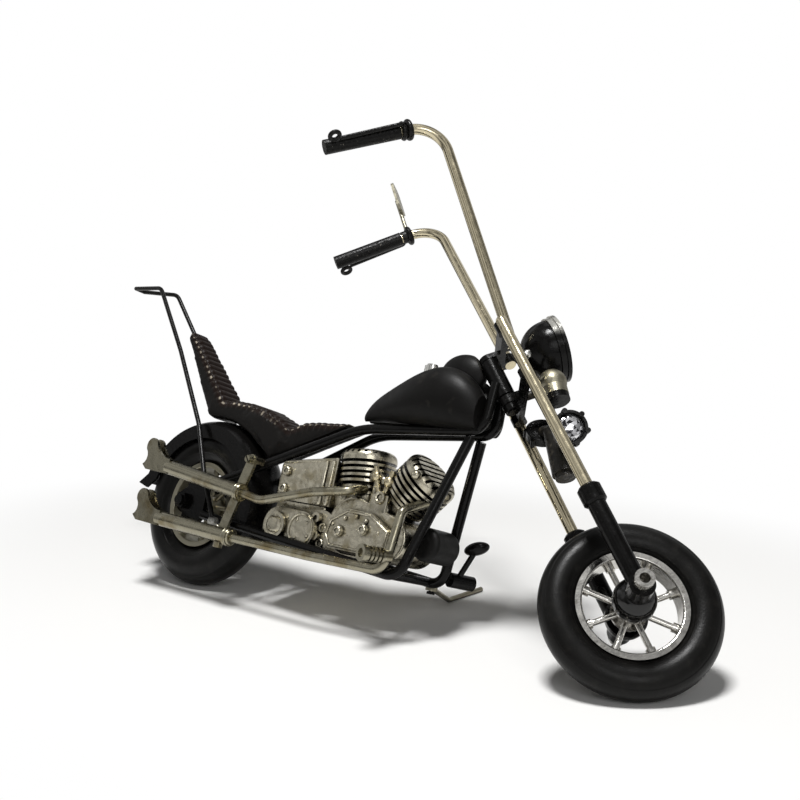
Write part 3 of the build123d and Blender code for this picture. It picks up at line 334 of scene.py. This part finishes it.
stain(
    satin_black, between(satin_black, grain(satin_black, 500, 8), 0.6, 0.8, 0.0, 0.5),
    (0.05, 0.05, 0.048))
coat(satin_black, "generator")

outward = (0, -1, 0)
bm = bmesh.new()
slotted_screw(bm, (48.0, -7.9, 33.6), outward, 0.7, 0.7)
rivet = ((0, 0.42), (0.3, 0.36), (0.5, 0.16), (0.55, -0.05))
for place in (
        (66.4, -10.75, 28.8), (70.4, -10.75, 29.7), (74.0, -10.75, 29.0), (62.2, -10.25, 26.6),
        (78.6, -10.25, 26.4)):
    turned(bm, rivet, facing(place, outward), 14)
ringed_hole = ((0, 0.05), (0.66, 0.05), (0.66, 0.34), (0.82, 0.46), (1.2, 0.46), (1.4, 0.28), (1.4, -0.05))
for place in (
        (38.6, -8.7, 34.4), (38.6, -8.7, 39.6), (65.0, -11.25, 25.0), (73.6, -11.25, 26.6),
        (56.8, -8.0, 25.1), (56.8, -8.0, 20.6)):
    turned(bm, ringed_hole, facing(place, outward))
knob = ((0, 1.5), (0.7, 1.4), (1.2, 1.0), (1.3, 0.6), (1.0, 0.3), (1.5, 0.2), (1.5, -0.1))
turned(bm, knob, facing((86.1, -8.16, 43.7), outward))
made("engine_screws", bm, machine, white_metal, "frame")


def bead(bm, start, end, radius):
    """A round-ended rib from one point to another."""
    run = Vector(end) - Vector(start)
    far = run.length
    profile = (
        (0, -radius), (0.7 * radius, -0.7 * radius), (radius, 0), (radius, far),
        (0.7 * radius, far + 0.7 * radius), (0, far + radius))
    turned(bm, profile, facing(start, run), 12)


bm = bmesh.new()
cover_face = -10.25
cover_rim = (
    (60.4, 23.6), (61.4, 27.6), (66.8, 30.9), (74.8, 30.7), (81.6, 27.0), (81.2, 22.6), (75.9, 20.8),
    (62.3, 20.8))
for (x0, z0), (x1, z1) in zip(cover_rim, cover_rim[1:] + cover_rim[:1]):
    bead(bm, (x0, cover_face, z0), (x1, cover_face, z1), 0.42)
round_rim = ((4.0, -0.1), (4.1, 0.25), (4.45, 0.45), (4.8, 0.25), (4.9, -0.1), (4.0, -0.1))
turned(bm, round_rim, facing((50.5, cover_face, 23.4), outward), 32)
domed_cap = ((0, 0.75), (1.4, 0.7), (2.4, 0.45), (2.9, 0.1), (2.9, -0.1))
turned(bm, domed_cap, facing((41.0, -11.45, 23.4), outward), 28)
for x, z in ((48.6, 26.0), (52.6, 25.6), (53.4, 21.8), (49.0, 20.8)):
    turned(bm, rivet, facing((x, cover_face, z), outward), 14)
made("cover_beads", bm, machine, white_metal, "frame")

bm = bmesh.new()
for x, high in ((53.3, 43.6), (55.9, 43.9)):
    bead(bm, (x, -7.9, 32.0), (x, -7.9, high), 0.8)
bead(bm, (37.0, -7.5, 42.2), (56.8, -7.5, 45.0), 0.62)


def rounded_block(bm, size, at, round_off, steps):
    """A block with its edges rounded off."""
    one = bmesh.new()
    bmesh.ops.create_cube(one, size=1)
    bmesh.ops.scale(one, vec=size, verts=one.verts[:])
    bmesh.ops.bevel(
        one, geom=one.edges[:], offset=round_off, offset_type="OFFSET", segments=steps, profile=0.5,
        affect="EDGES", material=-1)
    gather(bm, one, Matrix.Translation(at))


rounded_block(bm, (19.6, 15.0, 3.2), (46.0, 0, 29.8), 0.7, 3)
made("oil_tank_foot", bm, machine, white_metal, "frame")

bm = bmesh.new()
rounded_block(bm, (6.6, 3.2, 6.0), (74.6, -6.4, 34.2), 0.8, 2)
wide_hole = ((0, 0.1), (0.9, 0.1), (0.9, 0.5), (1.15, 0.7), (1.7, 0.7), (1.9, 0.4), (1.9, -0.1))
turned(bm, wide_hole, facing((75.2, -8.0, 36.2), outward))
made("tappet_block", bm, machine, white_metal, "frame")

brass = new_finish("brass", (0.55, 0.485, 0.33), 1.0, 0.25)
gloss(brass, between(brass, grain(brass, 700, 5), 0.3, 0.7, 0.16, 0.36))
stain(brass, between(brass, grain(brass, 900, 6), 0.55, 0.75, 0.0, 0.7), (0.16, 0.11, 0.04))
bm = bmesh.new()
for foot, cup, top in (
        ((73.6, -7.2, 37.0), (71.8, -7.4, 42.0), (70.9, -7.2, 44.6)),
        ((75.6, -7.2, 37.0), (76.4, -7.4, 40.9), (77.2, -7.2, 44.0))):
    run = Vector(top) - Vector(foot)
    ball = (Vector(cup) - Vector(foot)).length
    rod_profile = (
        (0.7, 0.0), (0.7, ball - 1.4), (1.15, ball - 1.0), (1.5, ball), (1.15, ball + 1.0),
        (0.7, ball + 1.4), (0.7, run.length), (0, run.length))
    turned(bm, rod_profile, facing(foot, run), 16)
made("push_rods", bm, machine, brass, "frame")

# Exhausts: two plated pipes down the right side, each with a fatter muffler and a fishtail of two
# plates, hung from a strut by bolts, with a band where pipe meets muffler. The plating has yellowed
# and browned in patches.
nickel = new_finish("nickel", (0.30, 0.28, 0.21), 1.0, 0.28)
gloss(nickel, between(nickel, grain(nickel, 380, 6), 0.3, 0.7, 0.16, 0.36))
stain(nickel, between(nickel, grain(nickel, 160, 6), 0.50, 0.68, 0.0, 0.75), (0.15, 0.112, 0.045))
stain(nickel, between(nickel, grain(nickel, 900, 8), 0.64, 0.8, 0.0, 0.85), (0.04, 0.03, 0.017))
# Painted shade: the plate darkens in its recesses, where pipes meet bands and the hanger.
stain(nickel, between(nickel, recess(nickel, 0.003), 0.35, 0.85, 0.0, 0.8), (0.02, 0.016, 0.01))
relief(nickel, grain(nickel, 700, 4), 0.00005)
coat(nickel, "upper_exhaust", "lower_exhaust", "pipe_hanger", "right_foot_peg")

bm = bmesh.new()
band = (
    (2.2, -0.9), (2.62, -0.9), (2.75, -0.6), (2.55, -0.2), (2.55, 0.2), (2.75, 0.6), (2.62, 0.9),
    (2.2, 0.9))
for place, way in (((29.0, -16.0, 30.5), (35.4, 0, -4.1)), ((28.6, -16.0, 17.05), (34.2, 0, -1.2))):
    turned(bm, band, facing(place, way), 24)
nut = bmesh.new()
bmesh.ops.create_cone(nut, cap_ends=True, segments=6, radius1=1.5, radius2=1.5, depth=1.7)
bmesh.ops.bevel(
    nut, geom=nut.edges[:], offset=0.15, offset_type="OFFSET", segments=2, profile=0.5,
    affect="EDGES", material=-1)
gather(bm, nut, Matrix.Translation((24.8, -16.0, 14.2)))
slotted_screw(bm, (28.4, -14.85, 40.8), outward, 1.25, 0.9)
made("pipe_bands", bm, machine, nickel, "frame")

# Tank: two teardrop lobes soldered along the middle, in a satin charcoal that has been rubbed, with
# a bright screw cap on the right lobe and a raised console between them.
charcoal = new_finish("charcoal", (0.0048, 0.0045, 0.0042), 0.0, 0.40)
mirror_share(charcoal, 0.13)
gloss(charcoal, between(charcoal, grain(charcoal, 300, 6), 0.3, 0.7, 0.36, 0.5))
stain(charcoal, between(charcoal, grain(charcoal, 210, 9), 0.62, 0.78, 0.0, 0.5), (0.040, 0.036, 0.031))
relief(charcoal, grain(charcoal, 1500, 3), 0.00002)
coat(charcoal, "fuel_tank", "console")
bright_plate = new_finish("bright_plate", (0.66, 0.655, 0.62), 1.0, 0.2)
gloss(bright_plate, between(bright_plate, grain(bright_plate, 600, 6), 0.3, 0.7, 0.12, 0.32))
# Painted shade: the plate darkens in its recesses.
stain(
    bright_plate, between(bright_plate, recess(bright_plate, 0.002), 0.3, 0.8, 0.0, 0.85),
    (0.02, 0.019, 0.015))
stain(
    bright_plate, between(bright_plate, grain(bright_plate, 700, 8), 0.62, 0.78, 0.0, 0.7),
    (0.10, 0.09, 0.07))
relief(bright_plate, grain(bright_plate, 1000, 4), 0.00005)
coat(bright_plate, "filler_cap")

# Seat: a rider's pad, a passenger's hump and a tall back in one leather cover over stuffing. The
# cover is swelled by a short cloth simulation, then sewn in rolls across its top and front. The
# crests of the rolls carry pale painted highlights, with some wear, along both edges.
# upper line from the crown of the back down to the nose, in machine x and z
seat_top = (
    (-25.2, 83.4), (-22.2, 81.3), (-14.6, 73.9), (-7.0, 66.4), (0.4, 59.3), (6.5, 59.6), (13.0, 59.2),
    (20.0, 58.0), (26.6, 55.7), (32.4, 52.6), (38.0, 54.9), (43.5, 55.5), (50.0, 55.7), (56.0, 56.0))
# under line from the nose back over the rails and the fender to the back's rear edge
seat_under = (
    (56.0, 55.4), (46.0, 51.2), (36.0, 46.9), (26.5, 42.8), (22.0, 45.6), (15.0, 50.0), (8.0, 52.9),
    (1.0, 54.0), (-5.2, 53.8), (-15.0, 66.2), (-26.0, 80.8))
seat_half = 5.6
seat_back_half = 3.8
roll_pitch = 2.45
seat_grow = 20.0


def seat_width(z):
    """Half width of the seat at a height: its back narrows upward."""
    share = min(max((z - 57.0) / 27.0, 0.0), 1.0)
    return seat_half + (seat_back_half - seat_half) * share


bm = bmesh.new()
near_ring = [bm.verts.new((x, -seat_width(z), z)) for x, z in seat_top + seat_under]
far_ring = [bm.verts.new((x, seat_width(z), z)) for x, z in seat_top + seat_under]
bm.faces.new(near_ring)
bm.faces.new(far_ring)
bmesh.ops.bridge_loops(bm, edges=bm.edges[:])
bmesh.ops.recalc_face_normals(bm, faces=bm.faces[:])
bmesh.ops.triangulate(bm, faces=bm.faces[:])
bmesh.ops.scale(bm, vec=(seat_grow / 1000,) * 3, verts=bm.verts[:])
seat_mesh = bpy.data.meshes.new("seat_cover")
bm.to_mesh(seat_mesh)
bm.free()
seat_cover = bpy.data.objects.new("seat_cover", seat_mesh)
bpy.context.scene.collection.objects.link(seat_cover)


def settled(piece):
    """The piece's mesh as its modifiers leave it, with no modifier left."""
    lasting = bpy.context.evaluated_depsgraph_get()
    lasting.update()
    mesh = bpy.data.meshes.new_from_object(piece.evaluated_get(lasting))
    piece.modifiers.clear()
    piece.data = mesh


remesh = seat_cover.modifiers.new("remesh", "REMESH")
remesh.mode = "VOXEL"
remesh.voxel_size = 0.5 * seat_grow / 1000
settled(seat_cover)
bm = bmesh.new()
bm.from_mesh(seat_cover.data)
for _ in range(10):
    bmesh.ops.smooth_vert(
        bm, verts=bm.verts[:], factor=0.5, use_axis_x=True, use_axis_y=True, use_axis_z=True)
bm.to_mesh(seat_cover.data)
bm.free()
at_rest = [v.co.copy() for v in seat_cover.data.vertices]
cloth = seat_cover.modifiers.new("cloth", "CLOTH")
cloth.settings.use_pressure = True
cloth.settings.uniform_pressure_force = 4
cloth.settings.effector_weights.gravity = 0
for step in range(1, 21):
    bpy.context.scene.frame_set(step)
settled(seat_cover)
bpy.context.scene.frame_set(1)
swell_cap = 0.35 * seat_grow / 1000
for v, start in zip(seat_cover.data.vertices, at_rest):
    moved = v.co - start
    if moved.length > swell_cap:
        v.co = start + moved * (swell_cap / moved.length)
finer = seat_cover.modifiers.new("finer", "SUBSURF")
finer.levels = 1
finer.render_levels = 1
settled(seat_cover)

seat_mesh = seat_cover.data
bm = bmesh.new()
bm.from_mesh(seat_mesh)
bmesh.ops.scale(bm, vec=(1000 / seat_grow,) * 3, verts=bm.verts[:])
bm.normal_update()
rolled = bm.verts.layers.float.new("rolled")
wear_and_highlight = bm.verts.layers.float.new("wear_and_highlight")
runs = []
run_from = 0.0
for (x0, z0), (x1, z1) in zip(seat_top, seat_top[1:]):
    long = math.hypot(x1 - x0, z1 - z0)
    runs.append((x0, z0, (x1 - x0) / long, (z1 - z0) / long, long, run_from))
    run_from += long
# Painted highlight with some wear: each roll's pale crest gets its own random strength.
roll_wear_and_highlight = random.Random(11)
wear_and_highlight_of = [roll_wear_and_highlight.uniform(0.25, 1.0) for _ in range(int(run_from / roll_pitch) + 2)]
pulls = []
for v in bm.verts:
    nearest = None
    for x0, z0, ux, uz, long, before in runs:
        along = min(max((v.co.x - x0) * ux + (v.co.z - z0) * uz, 0.0), long)
        off = math.hypot(v.co.x - x0 - ux * along, v.co.z - z0 - uz * along)
        if nearest is None or off < nearest[0]:
            nearest = (off, before + along, Vector((-uz, 0, ux)))
    off, along, up = nearest
    lies_up = v.normal.dot(up)
    on_top = min(max((lies_up - 0.05) / 0.55, 0.0), 1.0) * min(max((2.8 - off) / 1.0, 0.0), 1.0)
    over_edge = min(max((2.6 - off) / 1.4, 0.0), 1.0) * min(max((lies_up + 0.5) / 0.4, 0.0), 1.0)
    share = max(on_top, 0.8 * over_edge)
    roll = abs(math.sin(math.pi * along / roll_pitch))
    pulls.append((v, v.normal * (share * (0.62 * roll ** 0.6 - 0.5))))
    v[rolled] = share
    # Painted highlight with some wear: pale on the crests of the rolls where the top turns over the edge.
    corner = math.exp(-((on_top - 0.5) / 0.3) ** 2)
    v[wear_and_highlight] = corner * min(max((roll - 0.6) / 0.3, 0.0), 1.0) * wear_and_highlight_of[int(along / roll_pitch)]
for v, pull in pulls:
    v.co += pull
bmesh.ops.transform(bm, matrix=machine, verts=bm.verts[:])
bm.to_mesh(seat_mesh)
bm.free()
seat_mesh.shade_smooth()


def painted(finish, name):
    """A value laid on the piece's own points."""
    value = finish.node_tree.nodes.new("ShaderNodeAttribute")
    value.attribute_name = name
    return value.outputs["Fac"]


seat_leather = new_finish("seat_leather", (0.0042, 0.0036, 0.0030), 0.0, 0.4)
mirror_share(seat_leather, 0.16)
gloss(seat_leather, between(seat_leather, grain(seat_leather, 300, 6), 0.3, 0.7, 0.34, 0.55))
stain(
    seat_leather, between(seat_leather, painted(seat_leather, "rolled"), 0.1, 0.7, 0.0, 0.95),
    (0.011, 0.0058, 0.0040))
stain(
    seat_leather, between(seat_leather, grain(seat_leather, 800, 8), 0.58, 0.78, 0.0, 0.4),
    (0.022, 0.015, 0.011))
# Painted shade: the leather goes near black in the creases between the rolls.
stain(
    seat_leather, between(seat_leather, recess(seat_leather, 0.0012), 0.3, 0.8, 0.0, 0.9),
    (0.003, 0.0025, 0.002))
# Painted highlight with some wear: the pale crests of the rolls along both edges.
stain(
    seat_leather, between(seat_leather, painted(seat_leather, "wear_and_highlight"), 0.25, 0.85, 0.0, 0.95),
    (0.50, 0.44, 0.35))
relief(seat_leather, grain(seat_leather, 3800, 3), 0.00003)
seat_mesh.materials.clear()
seat_mesh.materials.append(seat_leather)
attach(seat_cover, "frame")
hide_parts("seat")

# Sissy bar: one thin rod bent to a tall loop behind the seat, in black enamel that has rubbed
# through to bright metal low down, where it meets the frame.


def metal_share(finish, share):
    """Let a pattern set how far the surface is bare metal."""
    tree = finish.node_tree
    tree.links.new(share, tree.nodes["Principled BSDF"].inputs["Metallic"])


def height_up(finish):
    """Height above the floor at rest, in metres."""
    tree = finish.node_tree
    where = tree.nodes.new("ShaderNodeTexCoord")
    parted = tree.nodes.new("ShaderNodeSeparateXYZ")
    tree.links.new(where.outputs["Object"], parted.inputs["Vector"])
    return parted.outputs["Z"]


rubbed_rod = new_finish("rubbed_rod", (0.0040, 0.0038, 0.0035), 0.0, 0.28)
mirror_share(rubbed_rod, 0.16)
black_above, bare_below = 0.0255, 0.0235
bare = between(rubbed_rod, height_up(rubbed_rod), black_above, bare_below)
metal_share(rubbed_rod, bare)
gloss(rubbed_rod, between(rubbed_rod, grain(rubbed_rod, 300, 6), 0.3, 0.7, 0.2, 0.36))
stain(
    rubbed_rod, between(rubbed_rod, grain(rubbed_rod, 1500, 9), 0.66, 0.8, 0.0, 0.5),
    (0.09, 0.085, 0.075))
stain(rubbed_rod, bare, (0.62, 0.61, 0.57))
relief(rubbed_rod, grain(rubbed_rod, 900, 3), 0.00006)
coat(rubbed_rod, "sissy_bar")

# Foot controls and side stand: a black peg and shift pedal screwed to the left of the cradle, and a
# bent wire for a stand, its plating dulled. The ribbed right peg has the exhausts' plate.
coat(black_enamel, "left_foot_peg", "shift_pedal")
coat(dull_plate, "side_stand")

# Fork: two straight rods with a warm bright plate, set in black sliders with a thick collar, and
# joined by two black clamp plates on the steering stem.
fork_plate = new_finish("fork_plate", (0.64, 0.57, 0.40), 1.0, 0.16)
gloss(fork_plate, between(fork_plate, grain(fork_plate, 420, 6), 0.3, 0.7, 0.10, 0.24))
stain(
    fork_plate, between(fork_plate, grain(fork_plate, 900, 8), 0.62, 0.8, 0.0, 0.6),
    (0.16, 0.12, 0.055))
relief(fork_plate, grain(fork_plate, 500, 4), 0.00004)
coat(fork_plate, "fork_tubes")
coat(black_enamel, "fork_clamps", "fork_sliders")

# Front wheel: a bright plated casting of stepped spokes in a smooth rubber tyre, with a gloss black
# dome over each side of its hub, turning on a hollow axle through the sliders' feet.
coat(tyre_finish("front_rubber", joints["front_wheel_spin"], 0.022), "front_tyre")
wheel_plate = new_finish("wheel_plate", (0.60, 0.585, 0.55), 1.0, 0.2)
gloss(wheel_plate, between(wheel_plate, grain(wheel_plate, 500, 6), 0.3, 0.7, 0.08, 0.26))
# Painted shade: the plate darkens in its recesses, between the spokes and round the hub.
stain(
    wheel_plate, between(wheel_plate, recess(wheel_plate, 0.004), 0.35, 0.9, 0.0, 0.85),
    (0.05, 0.043, 0.03))
stain(
    wheel_plate, between(wheel_plate, grain(wheel_plate, 650, 8), 0.60, 0.76, 0.0, 0.6),
    (0.16, 0.14, 0.10))
relief(wheel_plate, grain(wheel_plate, 1100, 4), 0.00005)
coat(wheel_plate, "front_wheel", "front_axle")
hub_gloss = new_finish("hub_gloss", (0.0036, 0.0034, 0.0032), 0.0, 0.1)
mirror_share(hub_gloss, 0.45)
gloss(hub_gloss, between(hub_gloss, grain(hub_gloss, 300, 5), 0.35, 0.7, 0.05, 0.16))
relief(hub_gloss, grain(hub_gloss, 700, 3), 0.00008)
coat(hub_gloss, "front_hub_covers")

# Handlebars: two tall rods of the fork's plate, bent inward and held in the upper clamp, with black
# rubber grips, levers on perches that are lumpy with enamel, and a small plated mirror on the left.
coat(fork_plate, "handlebars")
grip_rubber = new_finish("grip_rubber", (0.0038, 0.0036, 0.0033), 0.0, 0.4)
mirror_share(grip_rubber, 0.18)
gloss(grip_rubber, between(grip_rubber, grain(grip_rubber, 400, 6), 0.3, 0.7, 0.24, 0.46))
relief(grip_rubber, grain(grip_rubber, 900, 5), 0.00018)
stain(
    grip_rubber, between(grip_rubber, grain(grip_rubber, 1100, 9), 0.66, 0.76, 0.0, 0.9),
    (0.30, 0.28, 0.24))
coat(grip_rubber, "grips")
lumpy_enamel = new_finish("lumpy_enamel", (0.0040, 0.0038, 0.0035), 0.0, 0.25)
mirror_share(lumpy_enamel, 0.22)
gloss(lumpy_enamel, between(lumpy_enamel, grain(lumpy_enamel, 300, 6), 0.35, 0.7, 0.18, 0.38))
relief(lumpy_enamel, grain(lumpy_enamel, 480, 4), 0.0004)
stain(
    lumpy_enamel, between(lumpy_enamel, grain(lumpy_enamel, 1500, 9), 0.64, 0.78, 0.0, 0.6),
    (0.10, 0.095, 0.085))
coat(lumpy_enamel, "levers")
coat(dull_plate, "handlebar_mirror")

# Lamps: a black enamelled headlamp bowl with a nub, a ring rubbed bright at its top and a glass, two
# cut stones pressed in black claws for spot lamps, a horn in worn grey below them, and a dull
# plated bullet lamp with a black rim, all on one bracket from the lower clamp.
coat(black_enamel, "headlamp_shell", "bullet_rim")
horn_grey = new_finish("horn_grey", (0.013, 0.0115, 0.009), 0.0, 0.4)
mirror_share(horn_grey, 0.3)
gloss(horn_grey, between(horn_grey, grain(horn_grey, 500, 5), 0.3, 0.7, 0.26, 0.5))
stain(
    horn_grey, between(horn_grey, grain(horn_grey, 700, 9), 0.52, 0.72, 0.0, 0.8),
    (0.075, 0.066, 0.05))
relief(horn_grey, grain(horn_grey, 1100, 4), 0.00016)
coat(horn_grey, "lamp_bracket")
coat(lumpy_enamel, "spot_settings")
coat(dull_plate, "bullet_lamp")
bm = bmesh.new()
nub = ((0, 1.6), (0.75, 1.4), (1.2, 0.8), (1.3, 0.2), (1.3, -0.6))
turned(bm, nub, facing((106.46, 2.88, 81.8), (-0.27, -0.88, -0.38)))
made("lamp_nub", bm, machine, bright_plate, "fork")
rubbed_ring = new_finish("rubbed_ring", (0.0040, 0.0038, 0.0035), 0.0, 0.25)
mirror_share(rubbed_ring, 0.18)
ring_low, ring_high = (corner[2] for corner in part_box("headlamp_ring"))
bare_from = ring_low + 0.74 * (ring_high - ring_low)
bare = between(rubbed_ring, height_up(rubbed_ring), bare_from, ring_high)
metal_share(rubbed_ring, bare)
gloss(rubbed_ring, between(rubbed_ring, grain(rubbed_ring, 500, 6), 0.3, 0.7, 0.14, 0.32))
stain(rubbed_ring, bare, (0.66, 0.65, 0.60))
relief(rubbed_ring, grain(rubbed_ring, 900, 3), 0.00006)
coat(rubbed_ring, "headlamp_ring")
lamp_glass = new_finish("lamp_glass", (0.9, 0.92, 0.94), 0.0, 0.06)
lamp_glass.node_tree.nodes["Principled BSDF"].inputs["Transmission Weight"].default_value = 0.9
relief(lamp_glass, grain(lamp_glass, 800, 2), 0.00003)
coat(lamp_glass, "headlamp_lens")
cut_stone = new_finish("cut_stone", (0.80, 0.80, 0.82), 0.85, 0.12)
# Painted reflection: some facets of the stones are darkened as if mirroring the dim room.
stain(cut_stone, painted(cut_stone, "dark_reflection_facet"), (0.012, 0.012, 0.014))
gloss(cut_stone, between(cut_stone, grain(cut_stone, 900, 4), 0.3, 0.7, 0.06, 0.2))
facet_chance = random.Random(7)
bm = bmesh.new()
for seat_place, side in (((8.5, -9.0, -32.9), -1), ((6.9, 7.2, -23.6), 1)):
    stone = bmesh.new()
    bmesh.ops.create_icosphere(stone, subdivisions=3, radius=3.6)
    everything = stone.verts[:] + stone.edges[:] + stone.faces[:]
    bmesh.ops.bisect_plane(
        stone, geom=everything, plane_co=(0, 0, 0.2), plane_no=(0, 0, -1), clear_outer=True)
    bmesh.ops.scale(stone, vec=(1, 1, 0.4), verts=stone.verts[:])
    gather(bm, stone, facing(seat_place, (-0.1, side, -0.35)))
# Facets picked at random to carry the painted dark reflections.
dark_reflection_facet = bm.faces.layers.float.new("dark_reflection_facet")
for f in bm.faces:
    f[dark_reflection_facet] = facet_chance.choice((0.0, 0.0, 0.0, 0.35, 0.95))
stones = made("cut_stones", bm, fork, cut_stone, "fork")
stones.data.shade_flat()
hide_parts("spot_stones")

# Floor and light: a white paper sweep that runs out of sight, one soft lamp overhead, a weak one at
# the viewer's right, and a room that is white behind the machine and dim elsewhere.
floor_paper = bpy.data.materials.new("floor_paper")
floor_paper.use_nodes = True
tree = floor_paper.node_tree
paper = tree.nodes["Principled BSDF"]
paper.inputs["Base Color"].default_value = (0.92, 0.915, 0.90, 1)
paper.inputs["Roughness"].default_value = 0.9
paper.inputs["Specular IOR Level"].default_value = 0.1
where = tree.nodes.new("ShaderNodeTexCoord")
far = tree.nodes.new("ShaderNodeVectorMath")
far.operation = "LENGTH"
fade = tree.nodes.new("ShaderNodeMapRange")
fade.interpolation_type = "SMOOTHSTEP"
shaded_to, white_from = 0.10, 0.20
fade.inputs["From Min"].default_value = shaded_to
fade.inputs["From Max"].default_value = white_from
glow = tree.nodes.new("ShaderNodeEmission")
glow.inputs["Color"].default_value = (1, 1, 1, 1)
glow.inputs["Strength"].default_value = 1.0
path = tree.nodes.new("ShaderNodeLightPath")
seen = tree.nodes.new("ShaderNodeMath")
seen.operation = "MAXIMUM"
share = tree.nodes.new("ShaderNodeMath")
share.operation = "MULTIPLY"
blend = tree.nodes.new("ShaderNodeMixShader")
oval = tree.nodes.new("ShaderNodeMapping")
oval.inputs["Location"].default_value = (0, -0.03, 0)
oval.inputs["Scale"].default_value = (0.8, 1.25, 1)
tree.links.new(where.outputs["Object"], oval.inputs["Vector"])
tree.links.new(oval.outputs["Vector"], far.inputs[0])
tree.links.new(far.outputs["Value"], fade.inputs["Value"])
tree.links.new(path.outputs["Is Camera Ray"], seen.inputs[0])
tree.links.new(path.outputs["Is Transmission Ray"], seen.inputs[1])
tree.links.new(seen.outputs[0], share.inputs[0])
tree.links.new(fade.outputs["Result"], share.inputs[1])
tree.links.new(share.outputs[0], blend.inputs["Fac"])
tree.links.new(paper.outputs["BSDF"], blend.inputs[1])
tree.links.new(glow.outputs["Emission"], blend.inputs[2])
tree.links.new(blend.outputs["Shader"], tree.nodes["Material Output"].inputs["Surface"])
bm = bmesh.new()
bmesh.ops.create_grid(bm, x_segments=1, y_segments=1, size=4)
floor_mesh = bpy.data.meshes.new("floor")
bm.to_mesh(floor_mesh)
bm.free()
floor_mesh.materials.append(floor_paper)
floor = bpy.data.objects.new("floor", floor_mesh)
bpy.context.scene.collection.objects.link(floor)

world = bpy.data.worlds.new("studio")
bpy.context.scene.world = world
world.use_nodes = True
world.cycles.sampling_method = "NONE"
tree = world.node_tree
sky = tree.nodes["Background"]
sky.inputs["Color"].default_value = (1, 1, 1, 1)
where = tree.nodes.new("ShaderNodeTexCoord")
toward = tree.nodes.new("ShaderNodeVectorMath")
toward.operation = "DOT_PRODUCT"
backdrop_way = machine_turn.to_3x3() @ sight_ahead
toward.inputs[1].default_value = (backdrop_way.x, backdrop_way.y, 0)
room = tree.nodes.new("ShaderNodeMapRange")
room.interpolation_type = "SMOOTHSTEP"
room.inputs["From Min"].default_value = -0.25
room.inputs["From Max"].default_value = 0.55
room.inputs["To Min"].default_value = 0.34
room.inputs["To Max"].default_value = 0.45
furnishing = tree.nodes.new("ShaderNodeTexNoise")
furnishing.inputs["Scale"].default_value = 2.6
furnishing.inputs["Detail"].default_value = 2
patches = tree.nodes.new("ShaderNodeMapRange")
patches.inputs["From Min"].default_value = 0.40
patches.inputs["From Max"].default_value = 0.60
patches.inputs["To Min"].default_value = 0.15
patches.inputs["To Max"].default_value = 1.95
patchy = tree.nodes.new("ShaderNodeMath")
patchy.operation = "MULTIPLY"
path = tree.nodes.new("ShaderNodeLightPath")
mirrored = tree.nodes.new("ShaderNodeMath")
mirrored.operation = "MAXIMUM"
ambient = tree.nodes.new("ShaderNodeMix")
ambient.inputs["A"].default_value = 0.10
level = tree.nodes.new("ShaderNodeMix")
level.inputs["B"].default_value = 1.0
tree.links.new(where.outputs["Generated"], toward.inputs[0])
tree.links.new(toward.outputs["Value"], room.inputs["Value"])
tree.links.new(path.outputs["Is Glossy Ray"], mirrored.inputs[0])
tree.links.new(path.outputs["Is Transmission Ray"], mirrored.inputs[1])
tree.links.new(mirrored.outputs[0], ambient.inputs["Factor"])
tree.links.new(where.outputs["Generated"], furnishing.inputs["Vector"])
tree.links.new(furnishing.outputs["Fac"], patches.inputs["Value"])
tree.links.new(room.outputs["Result"], patchy.inputs[0])
tree.links.new(patches.outputs["Result"], patchy.inputs[1])
tree.links.new(patchy.outputs[0], ambient.inputs["B"])
tree.links.new(path.outputs["Is Camera Ray"], level.inputs["Factor"])
tree.links.new(ambient.outputs["Result"], level.inputs["A"])
tree.links.new(level.outputs["Result"], sky.inputs["Strength"])


def lamp(name, place, aim, size, watts):
    """A square soft lamp at a place, facing another."""
    light = bpy.data.lights.new(name, "AREA")
    light.size = size
    light.energy = watts
    lit = bpy.data.objects.new(name, light)
    bpy.context.scene.collection.objects.link(lit)
    lit.location = place
    lit.rotation_mode = "QUATERNION"
    lit.rotation_quaternion = (Vector(aim) - Vector(place)).to_track_quat("-Z", "Y")


lamp("key", (0.06, -0.16, 0.92), (0, 0, 0.04), 0.20, 8.2)
lamp("fill", (0.60, -0.55, 0.45), (0, 0, 0.05), 0.35, 1.1)

scene_view = bpy.context.scene.view_settings
scene_view.view_transform = "Standard"
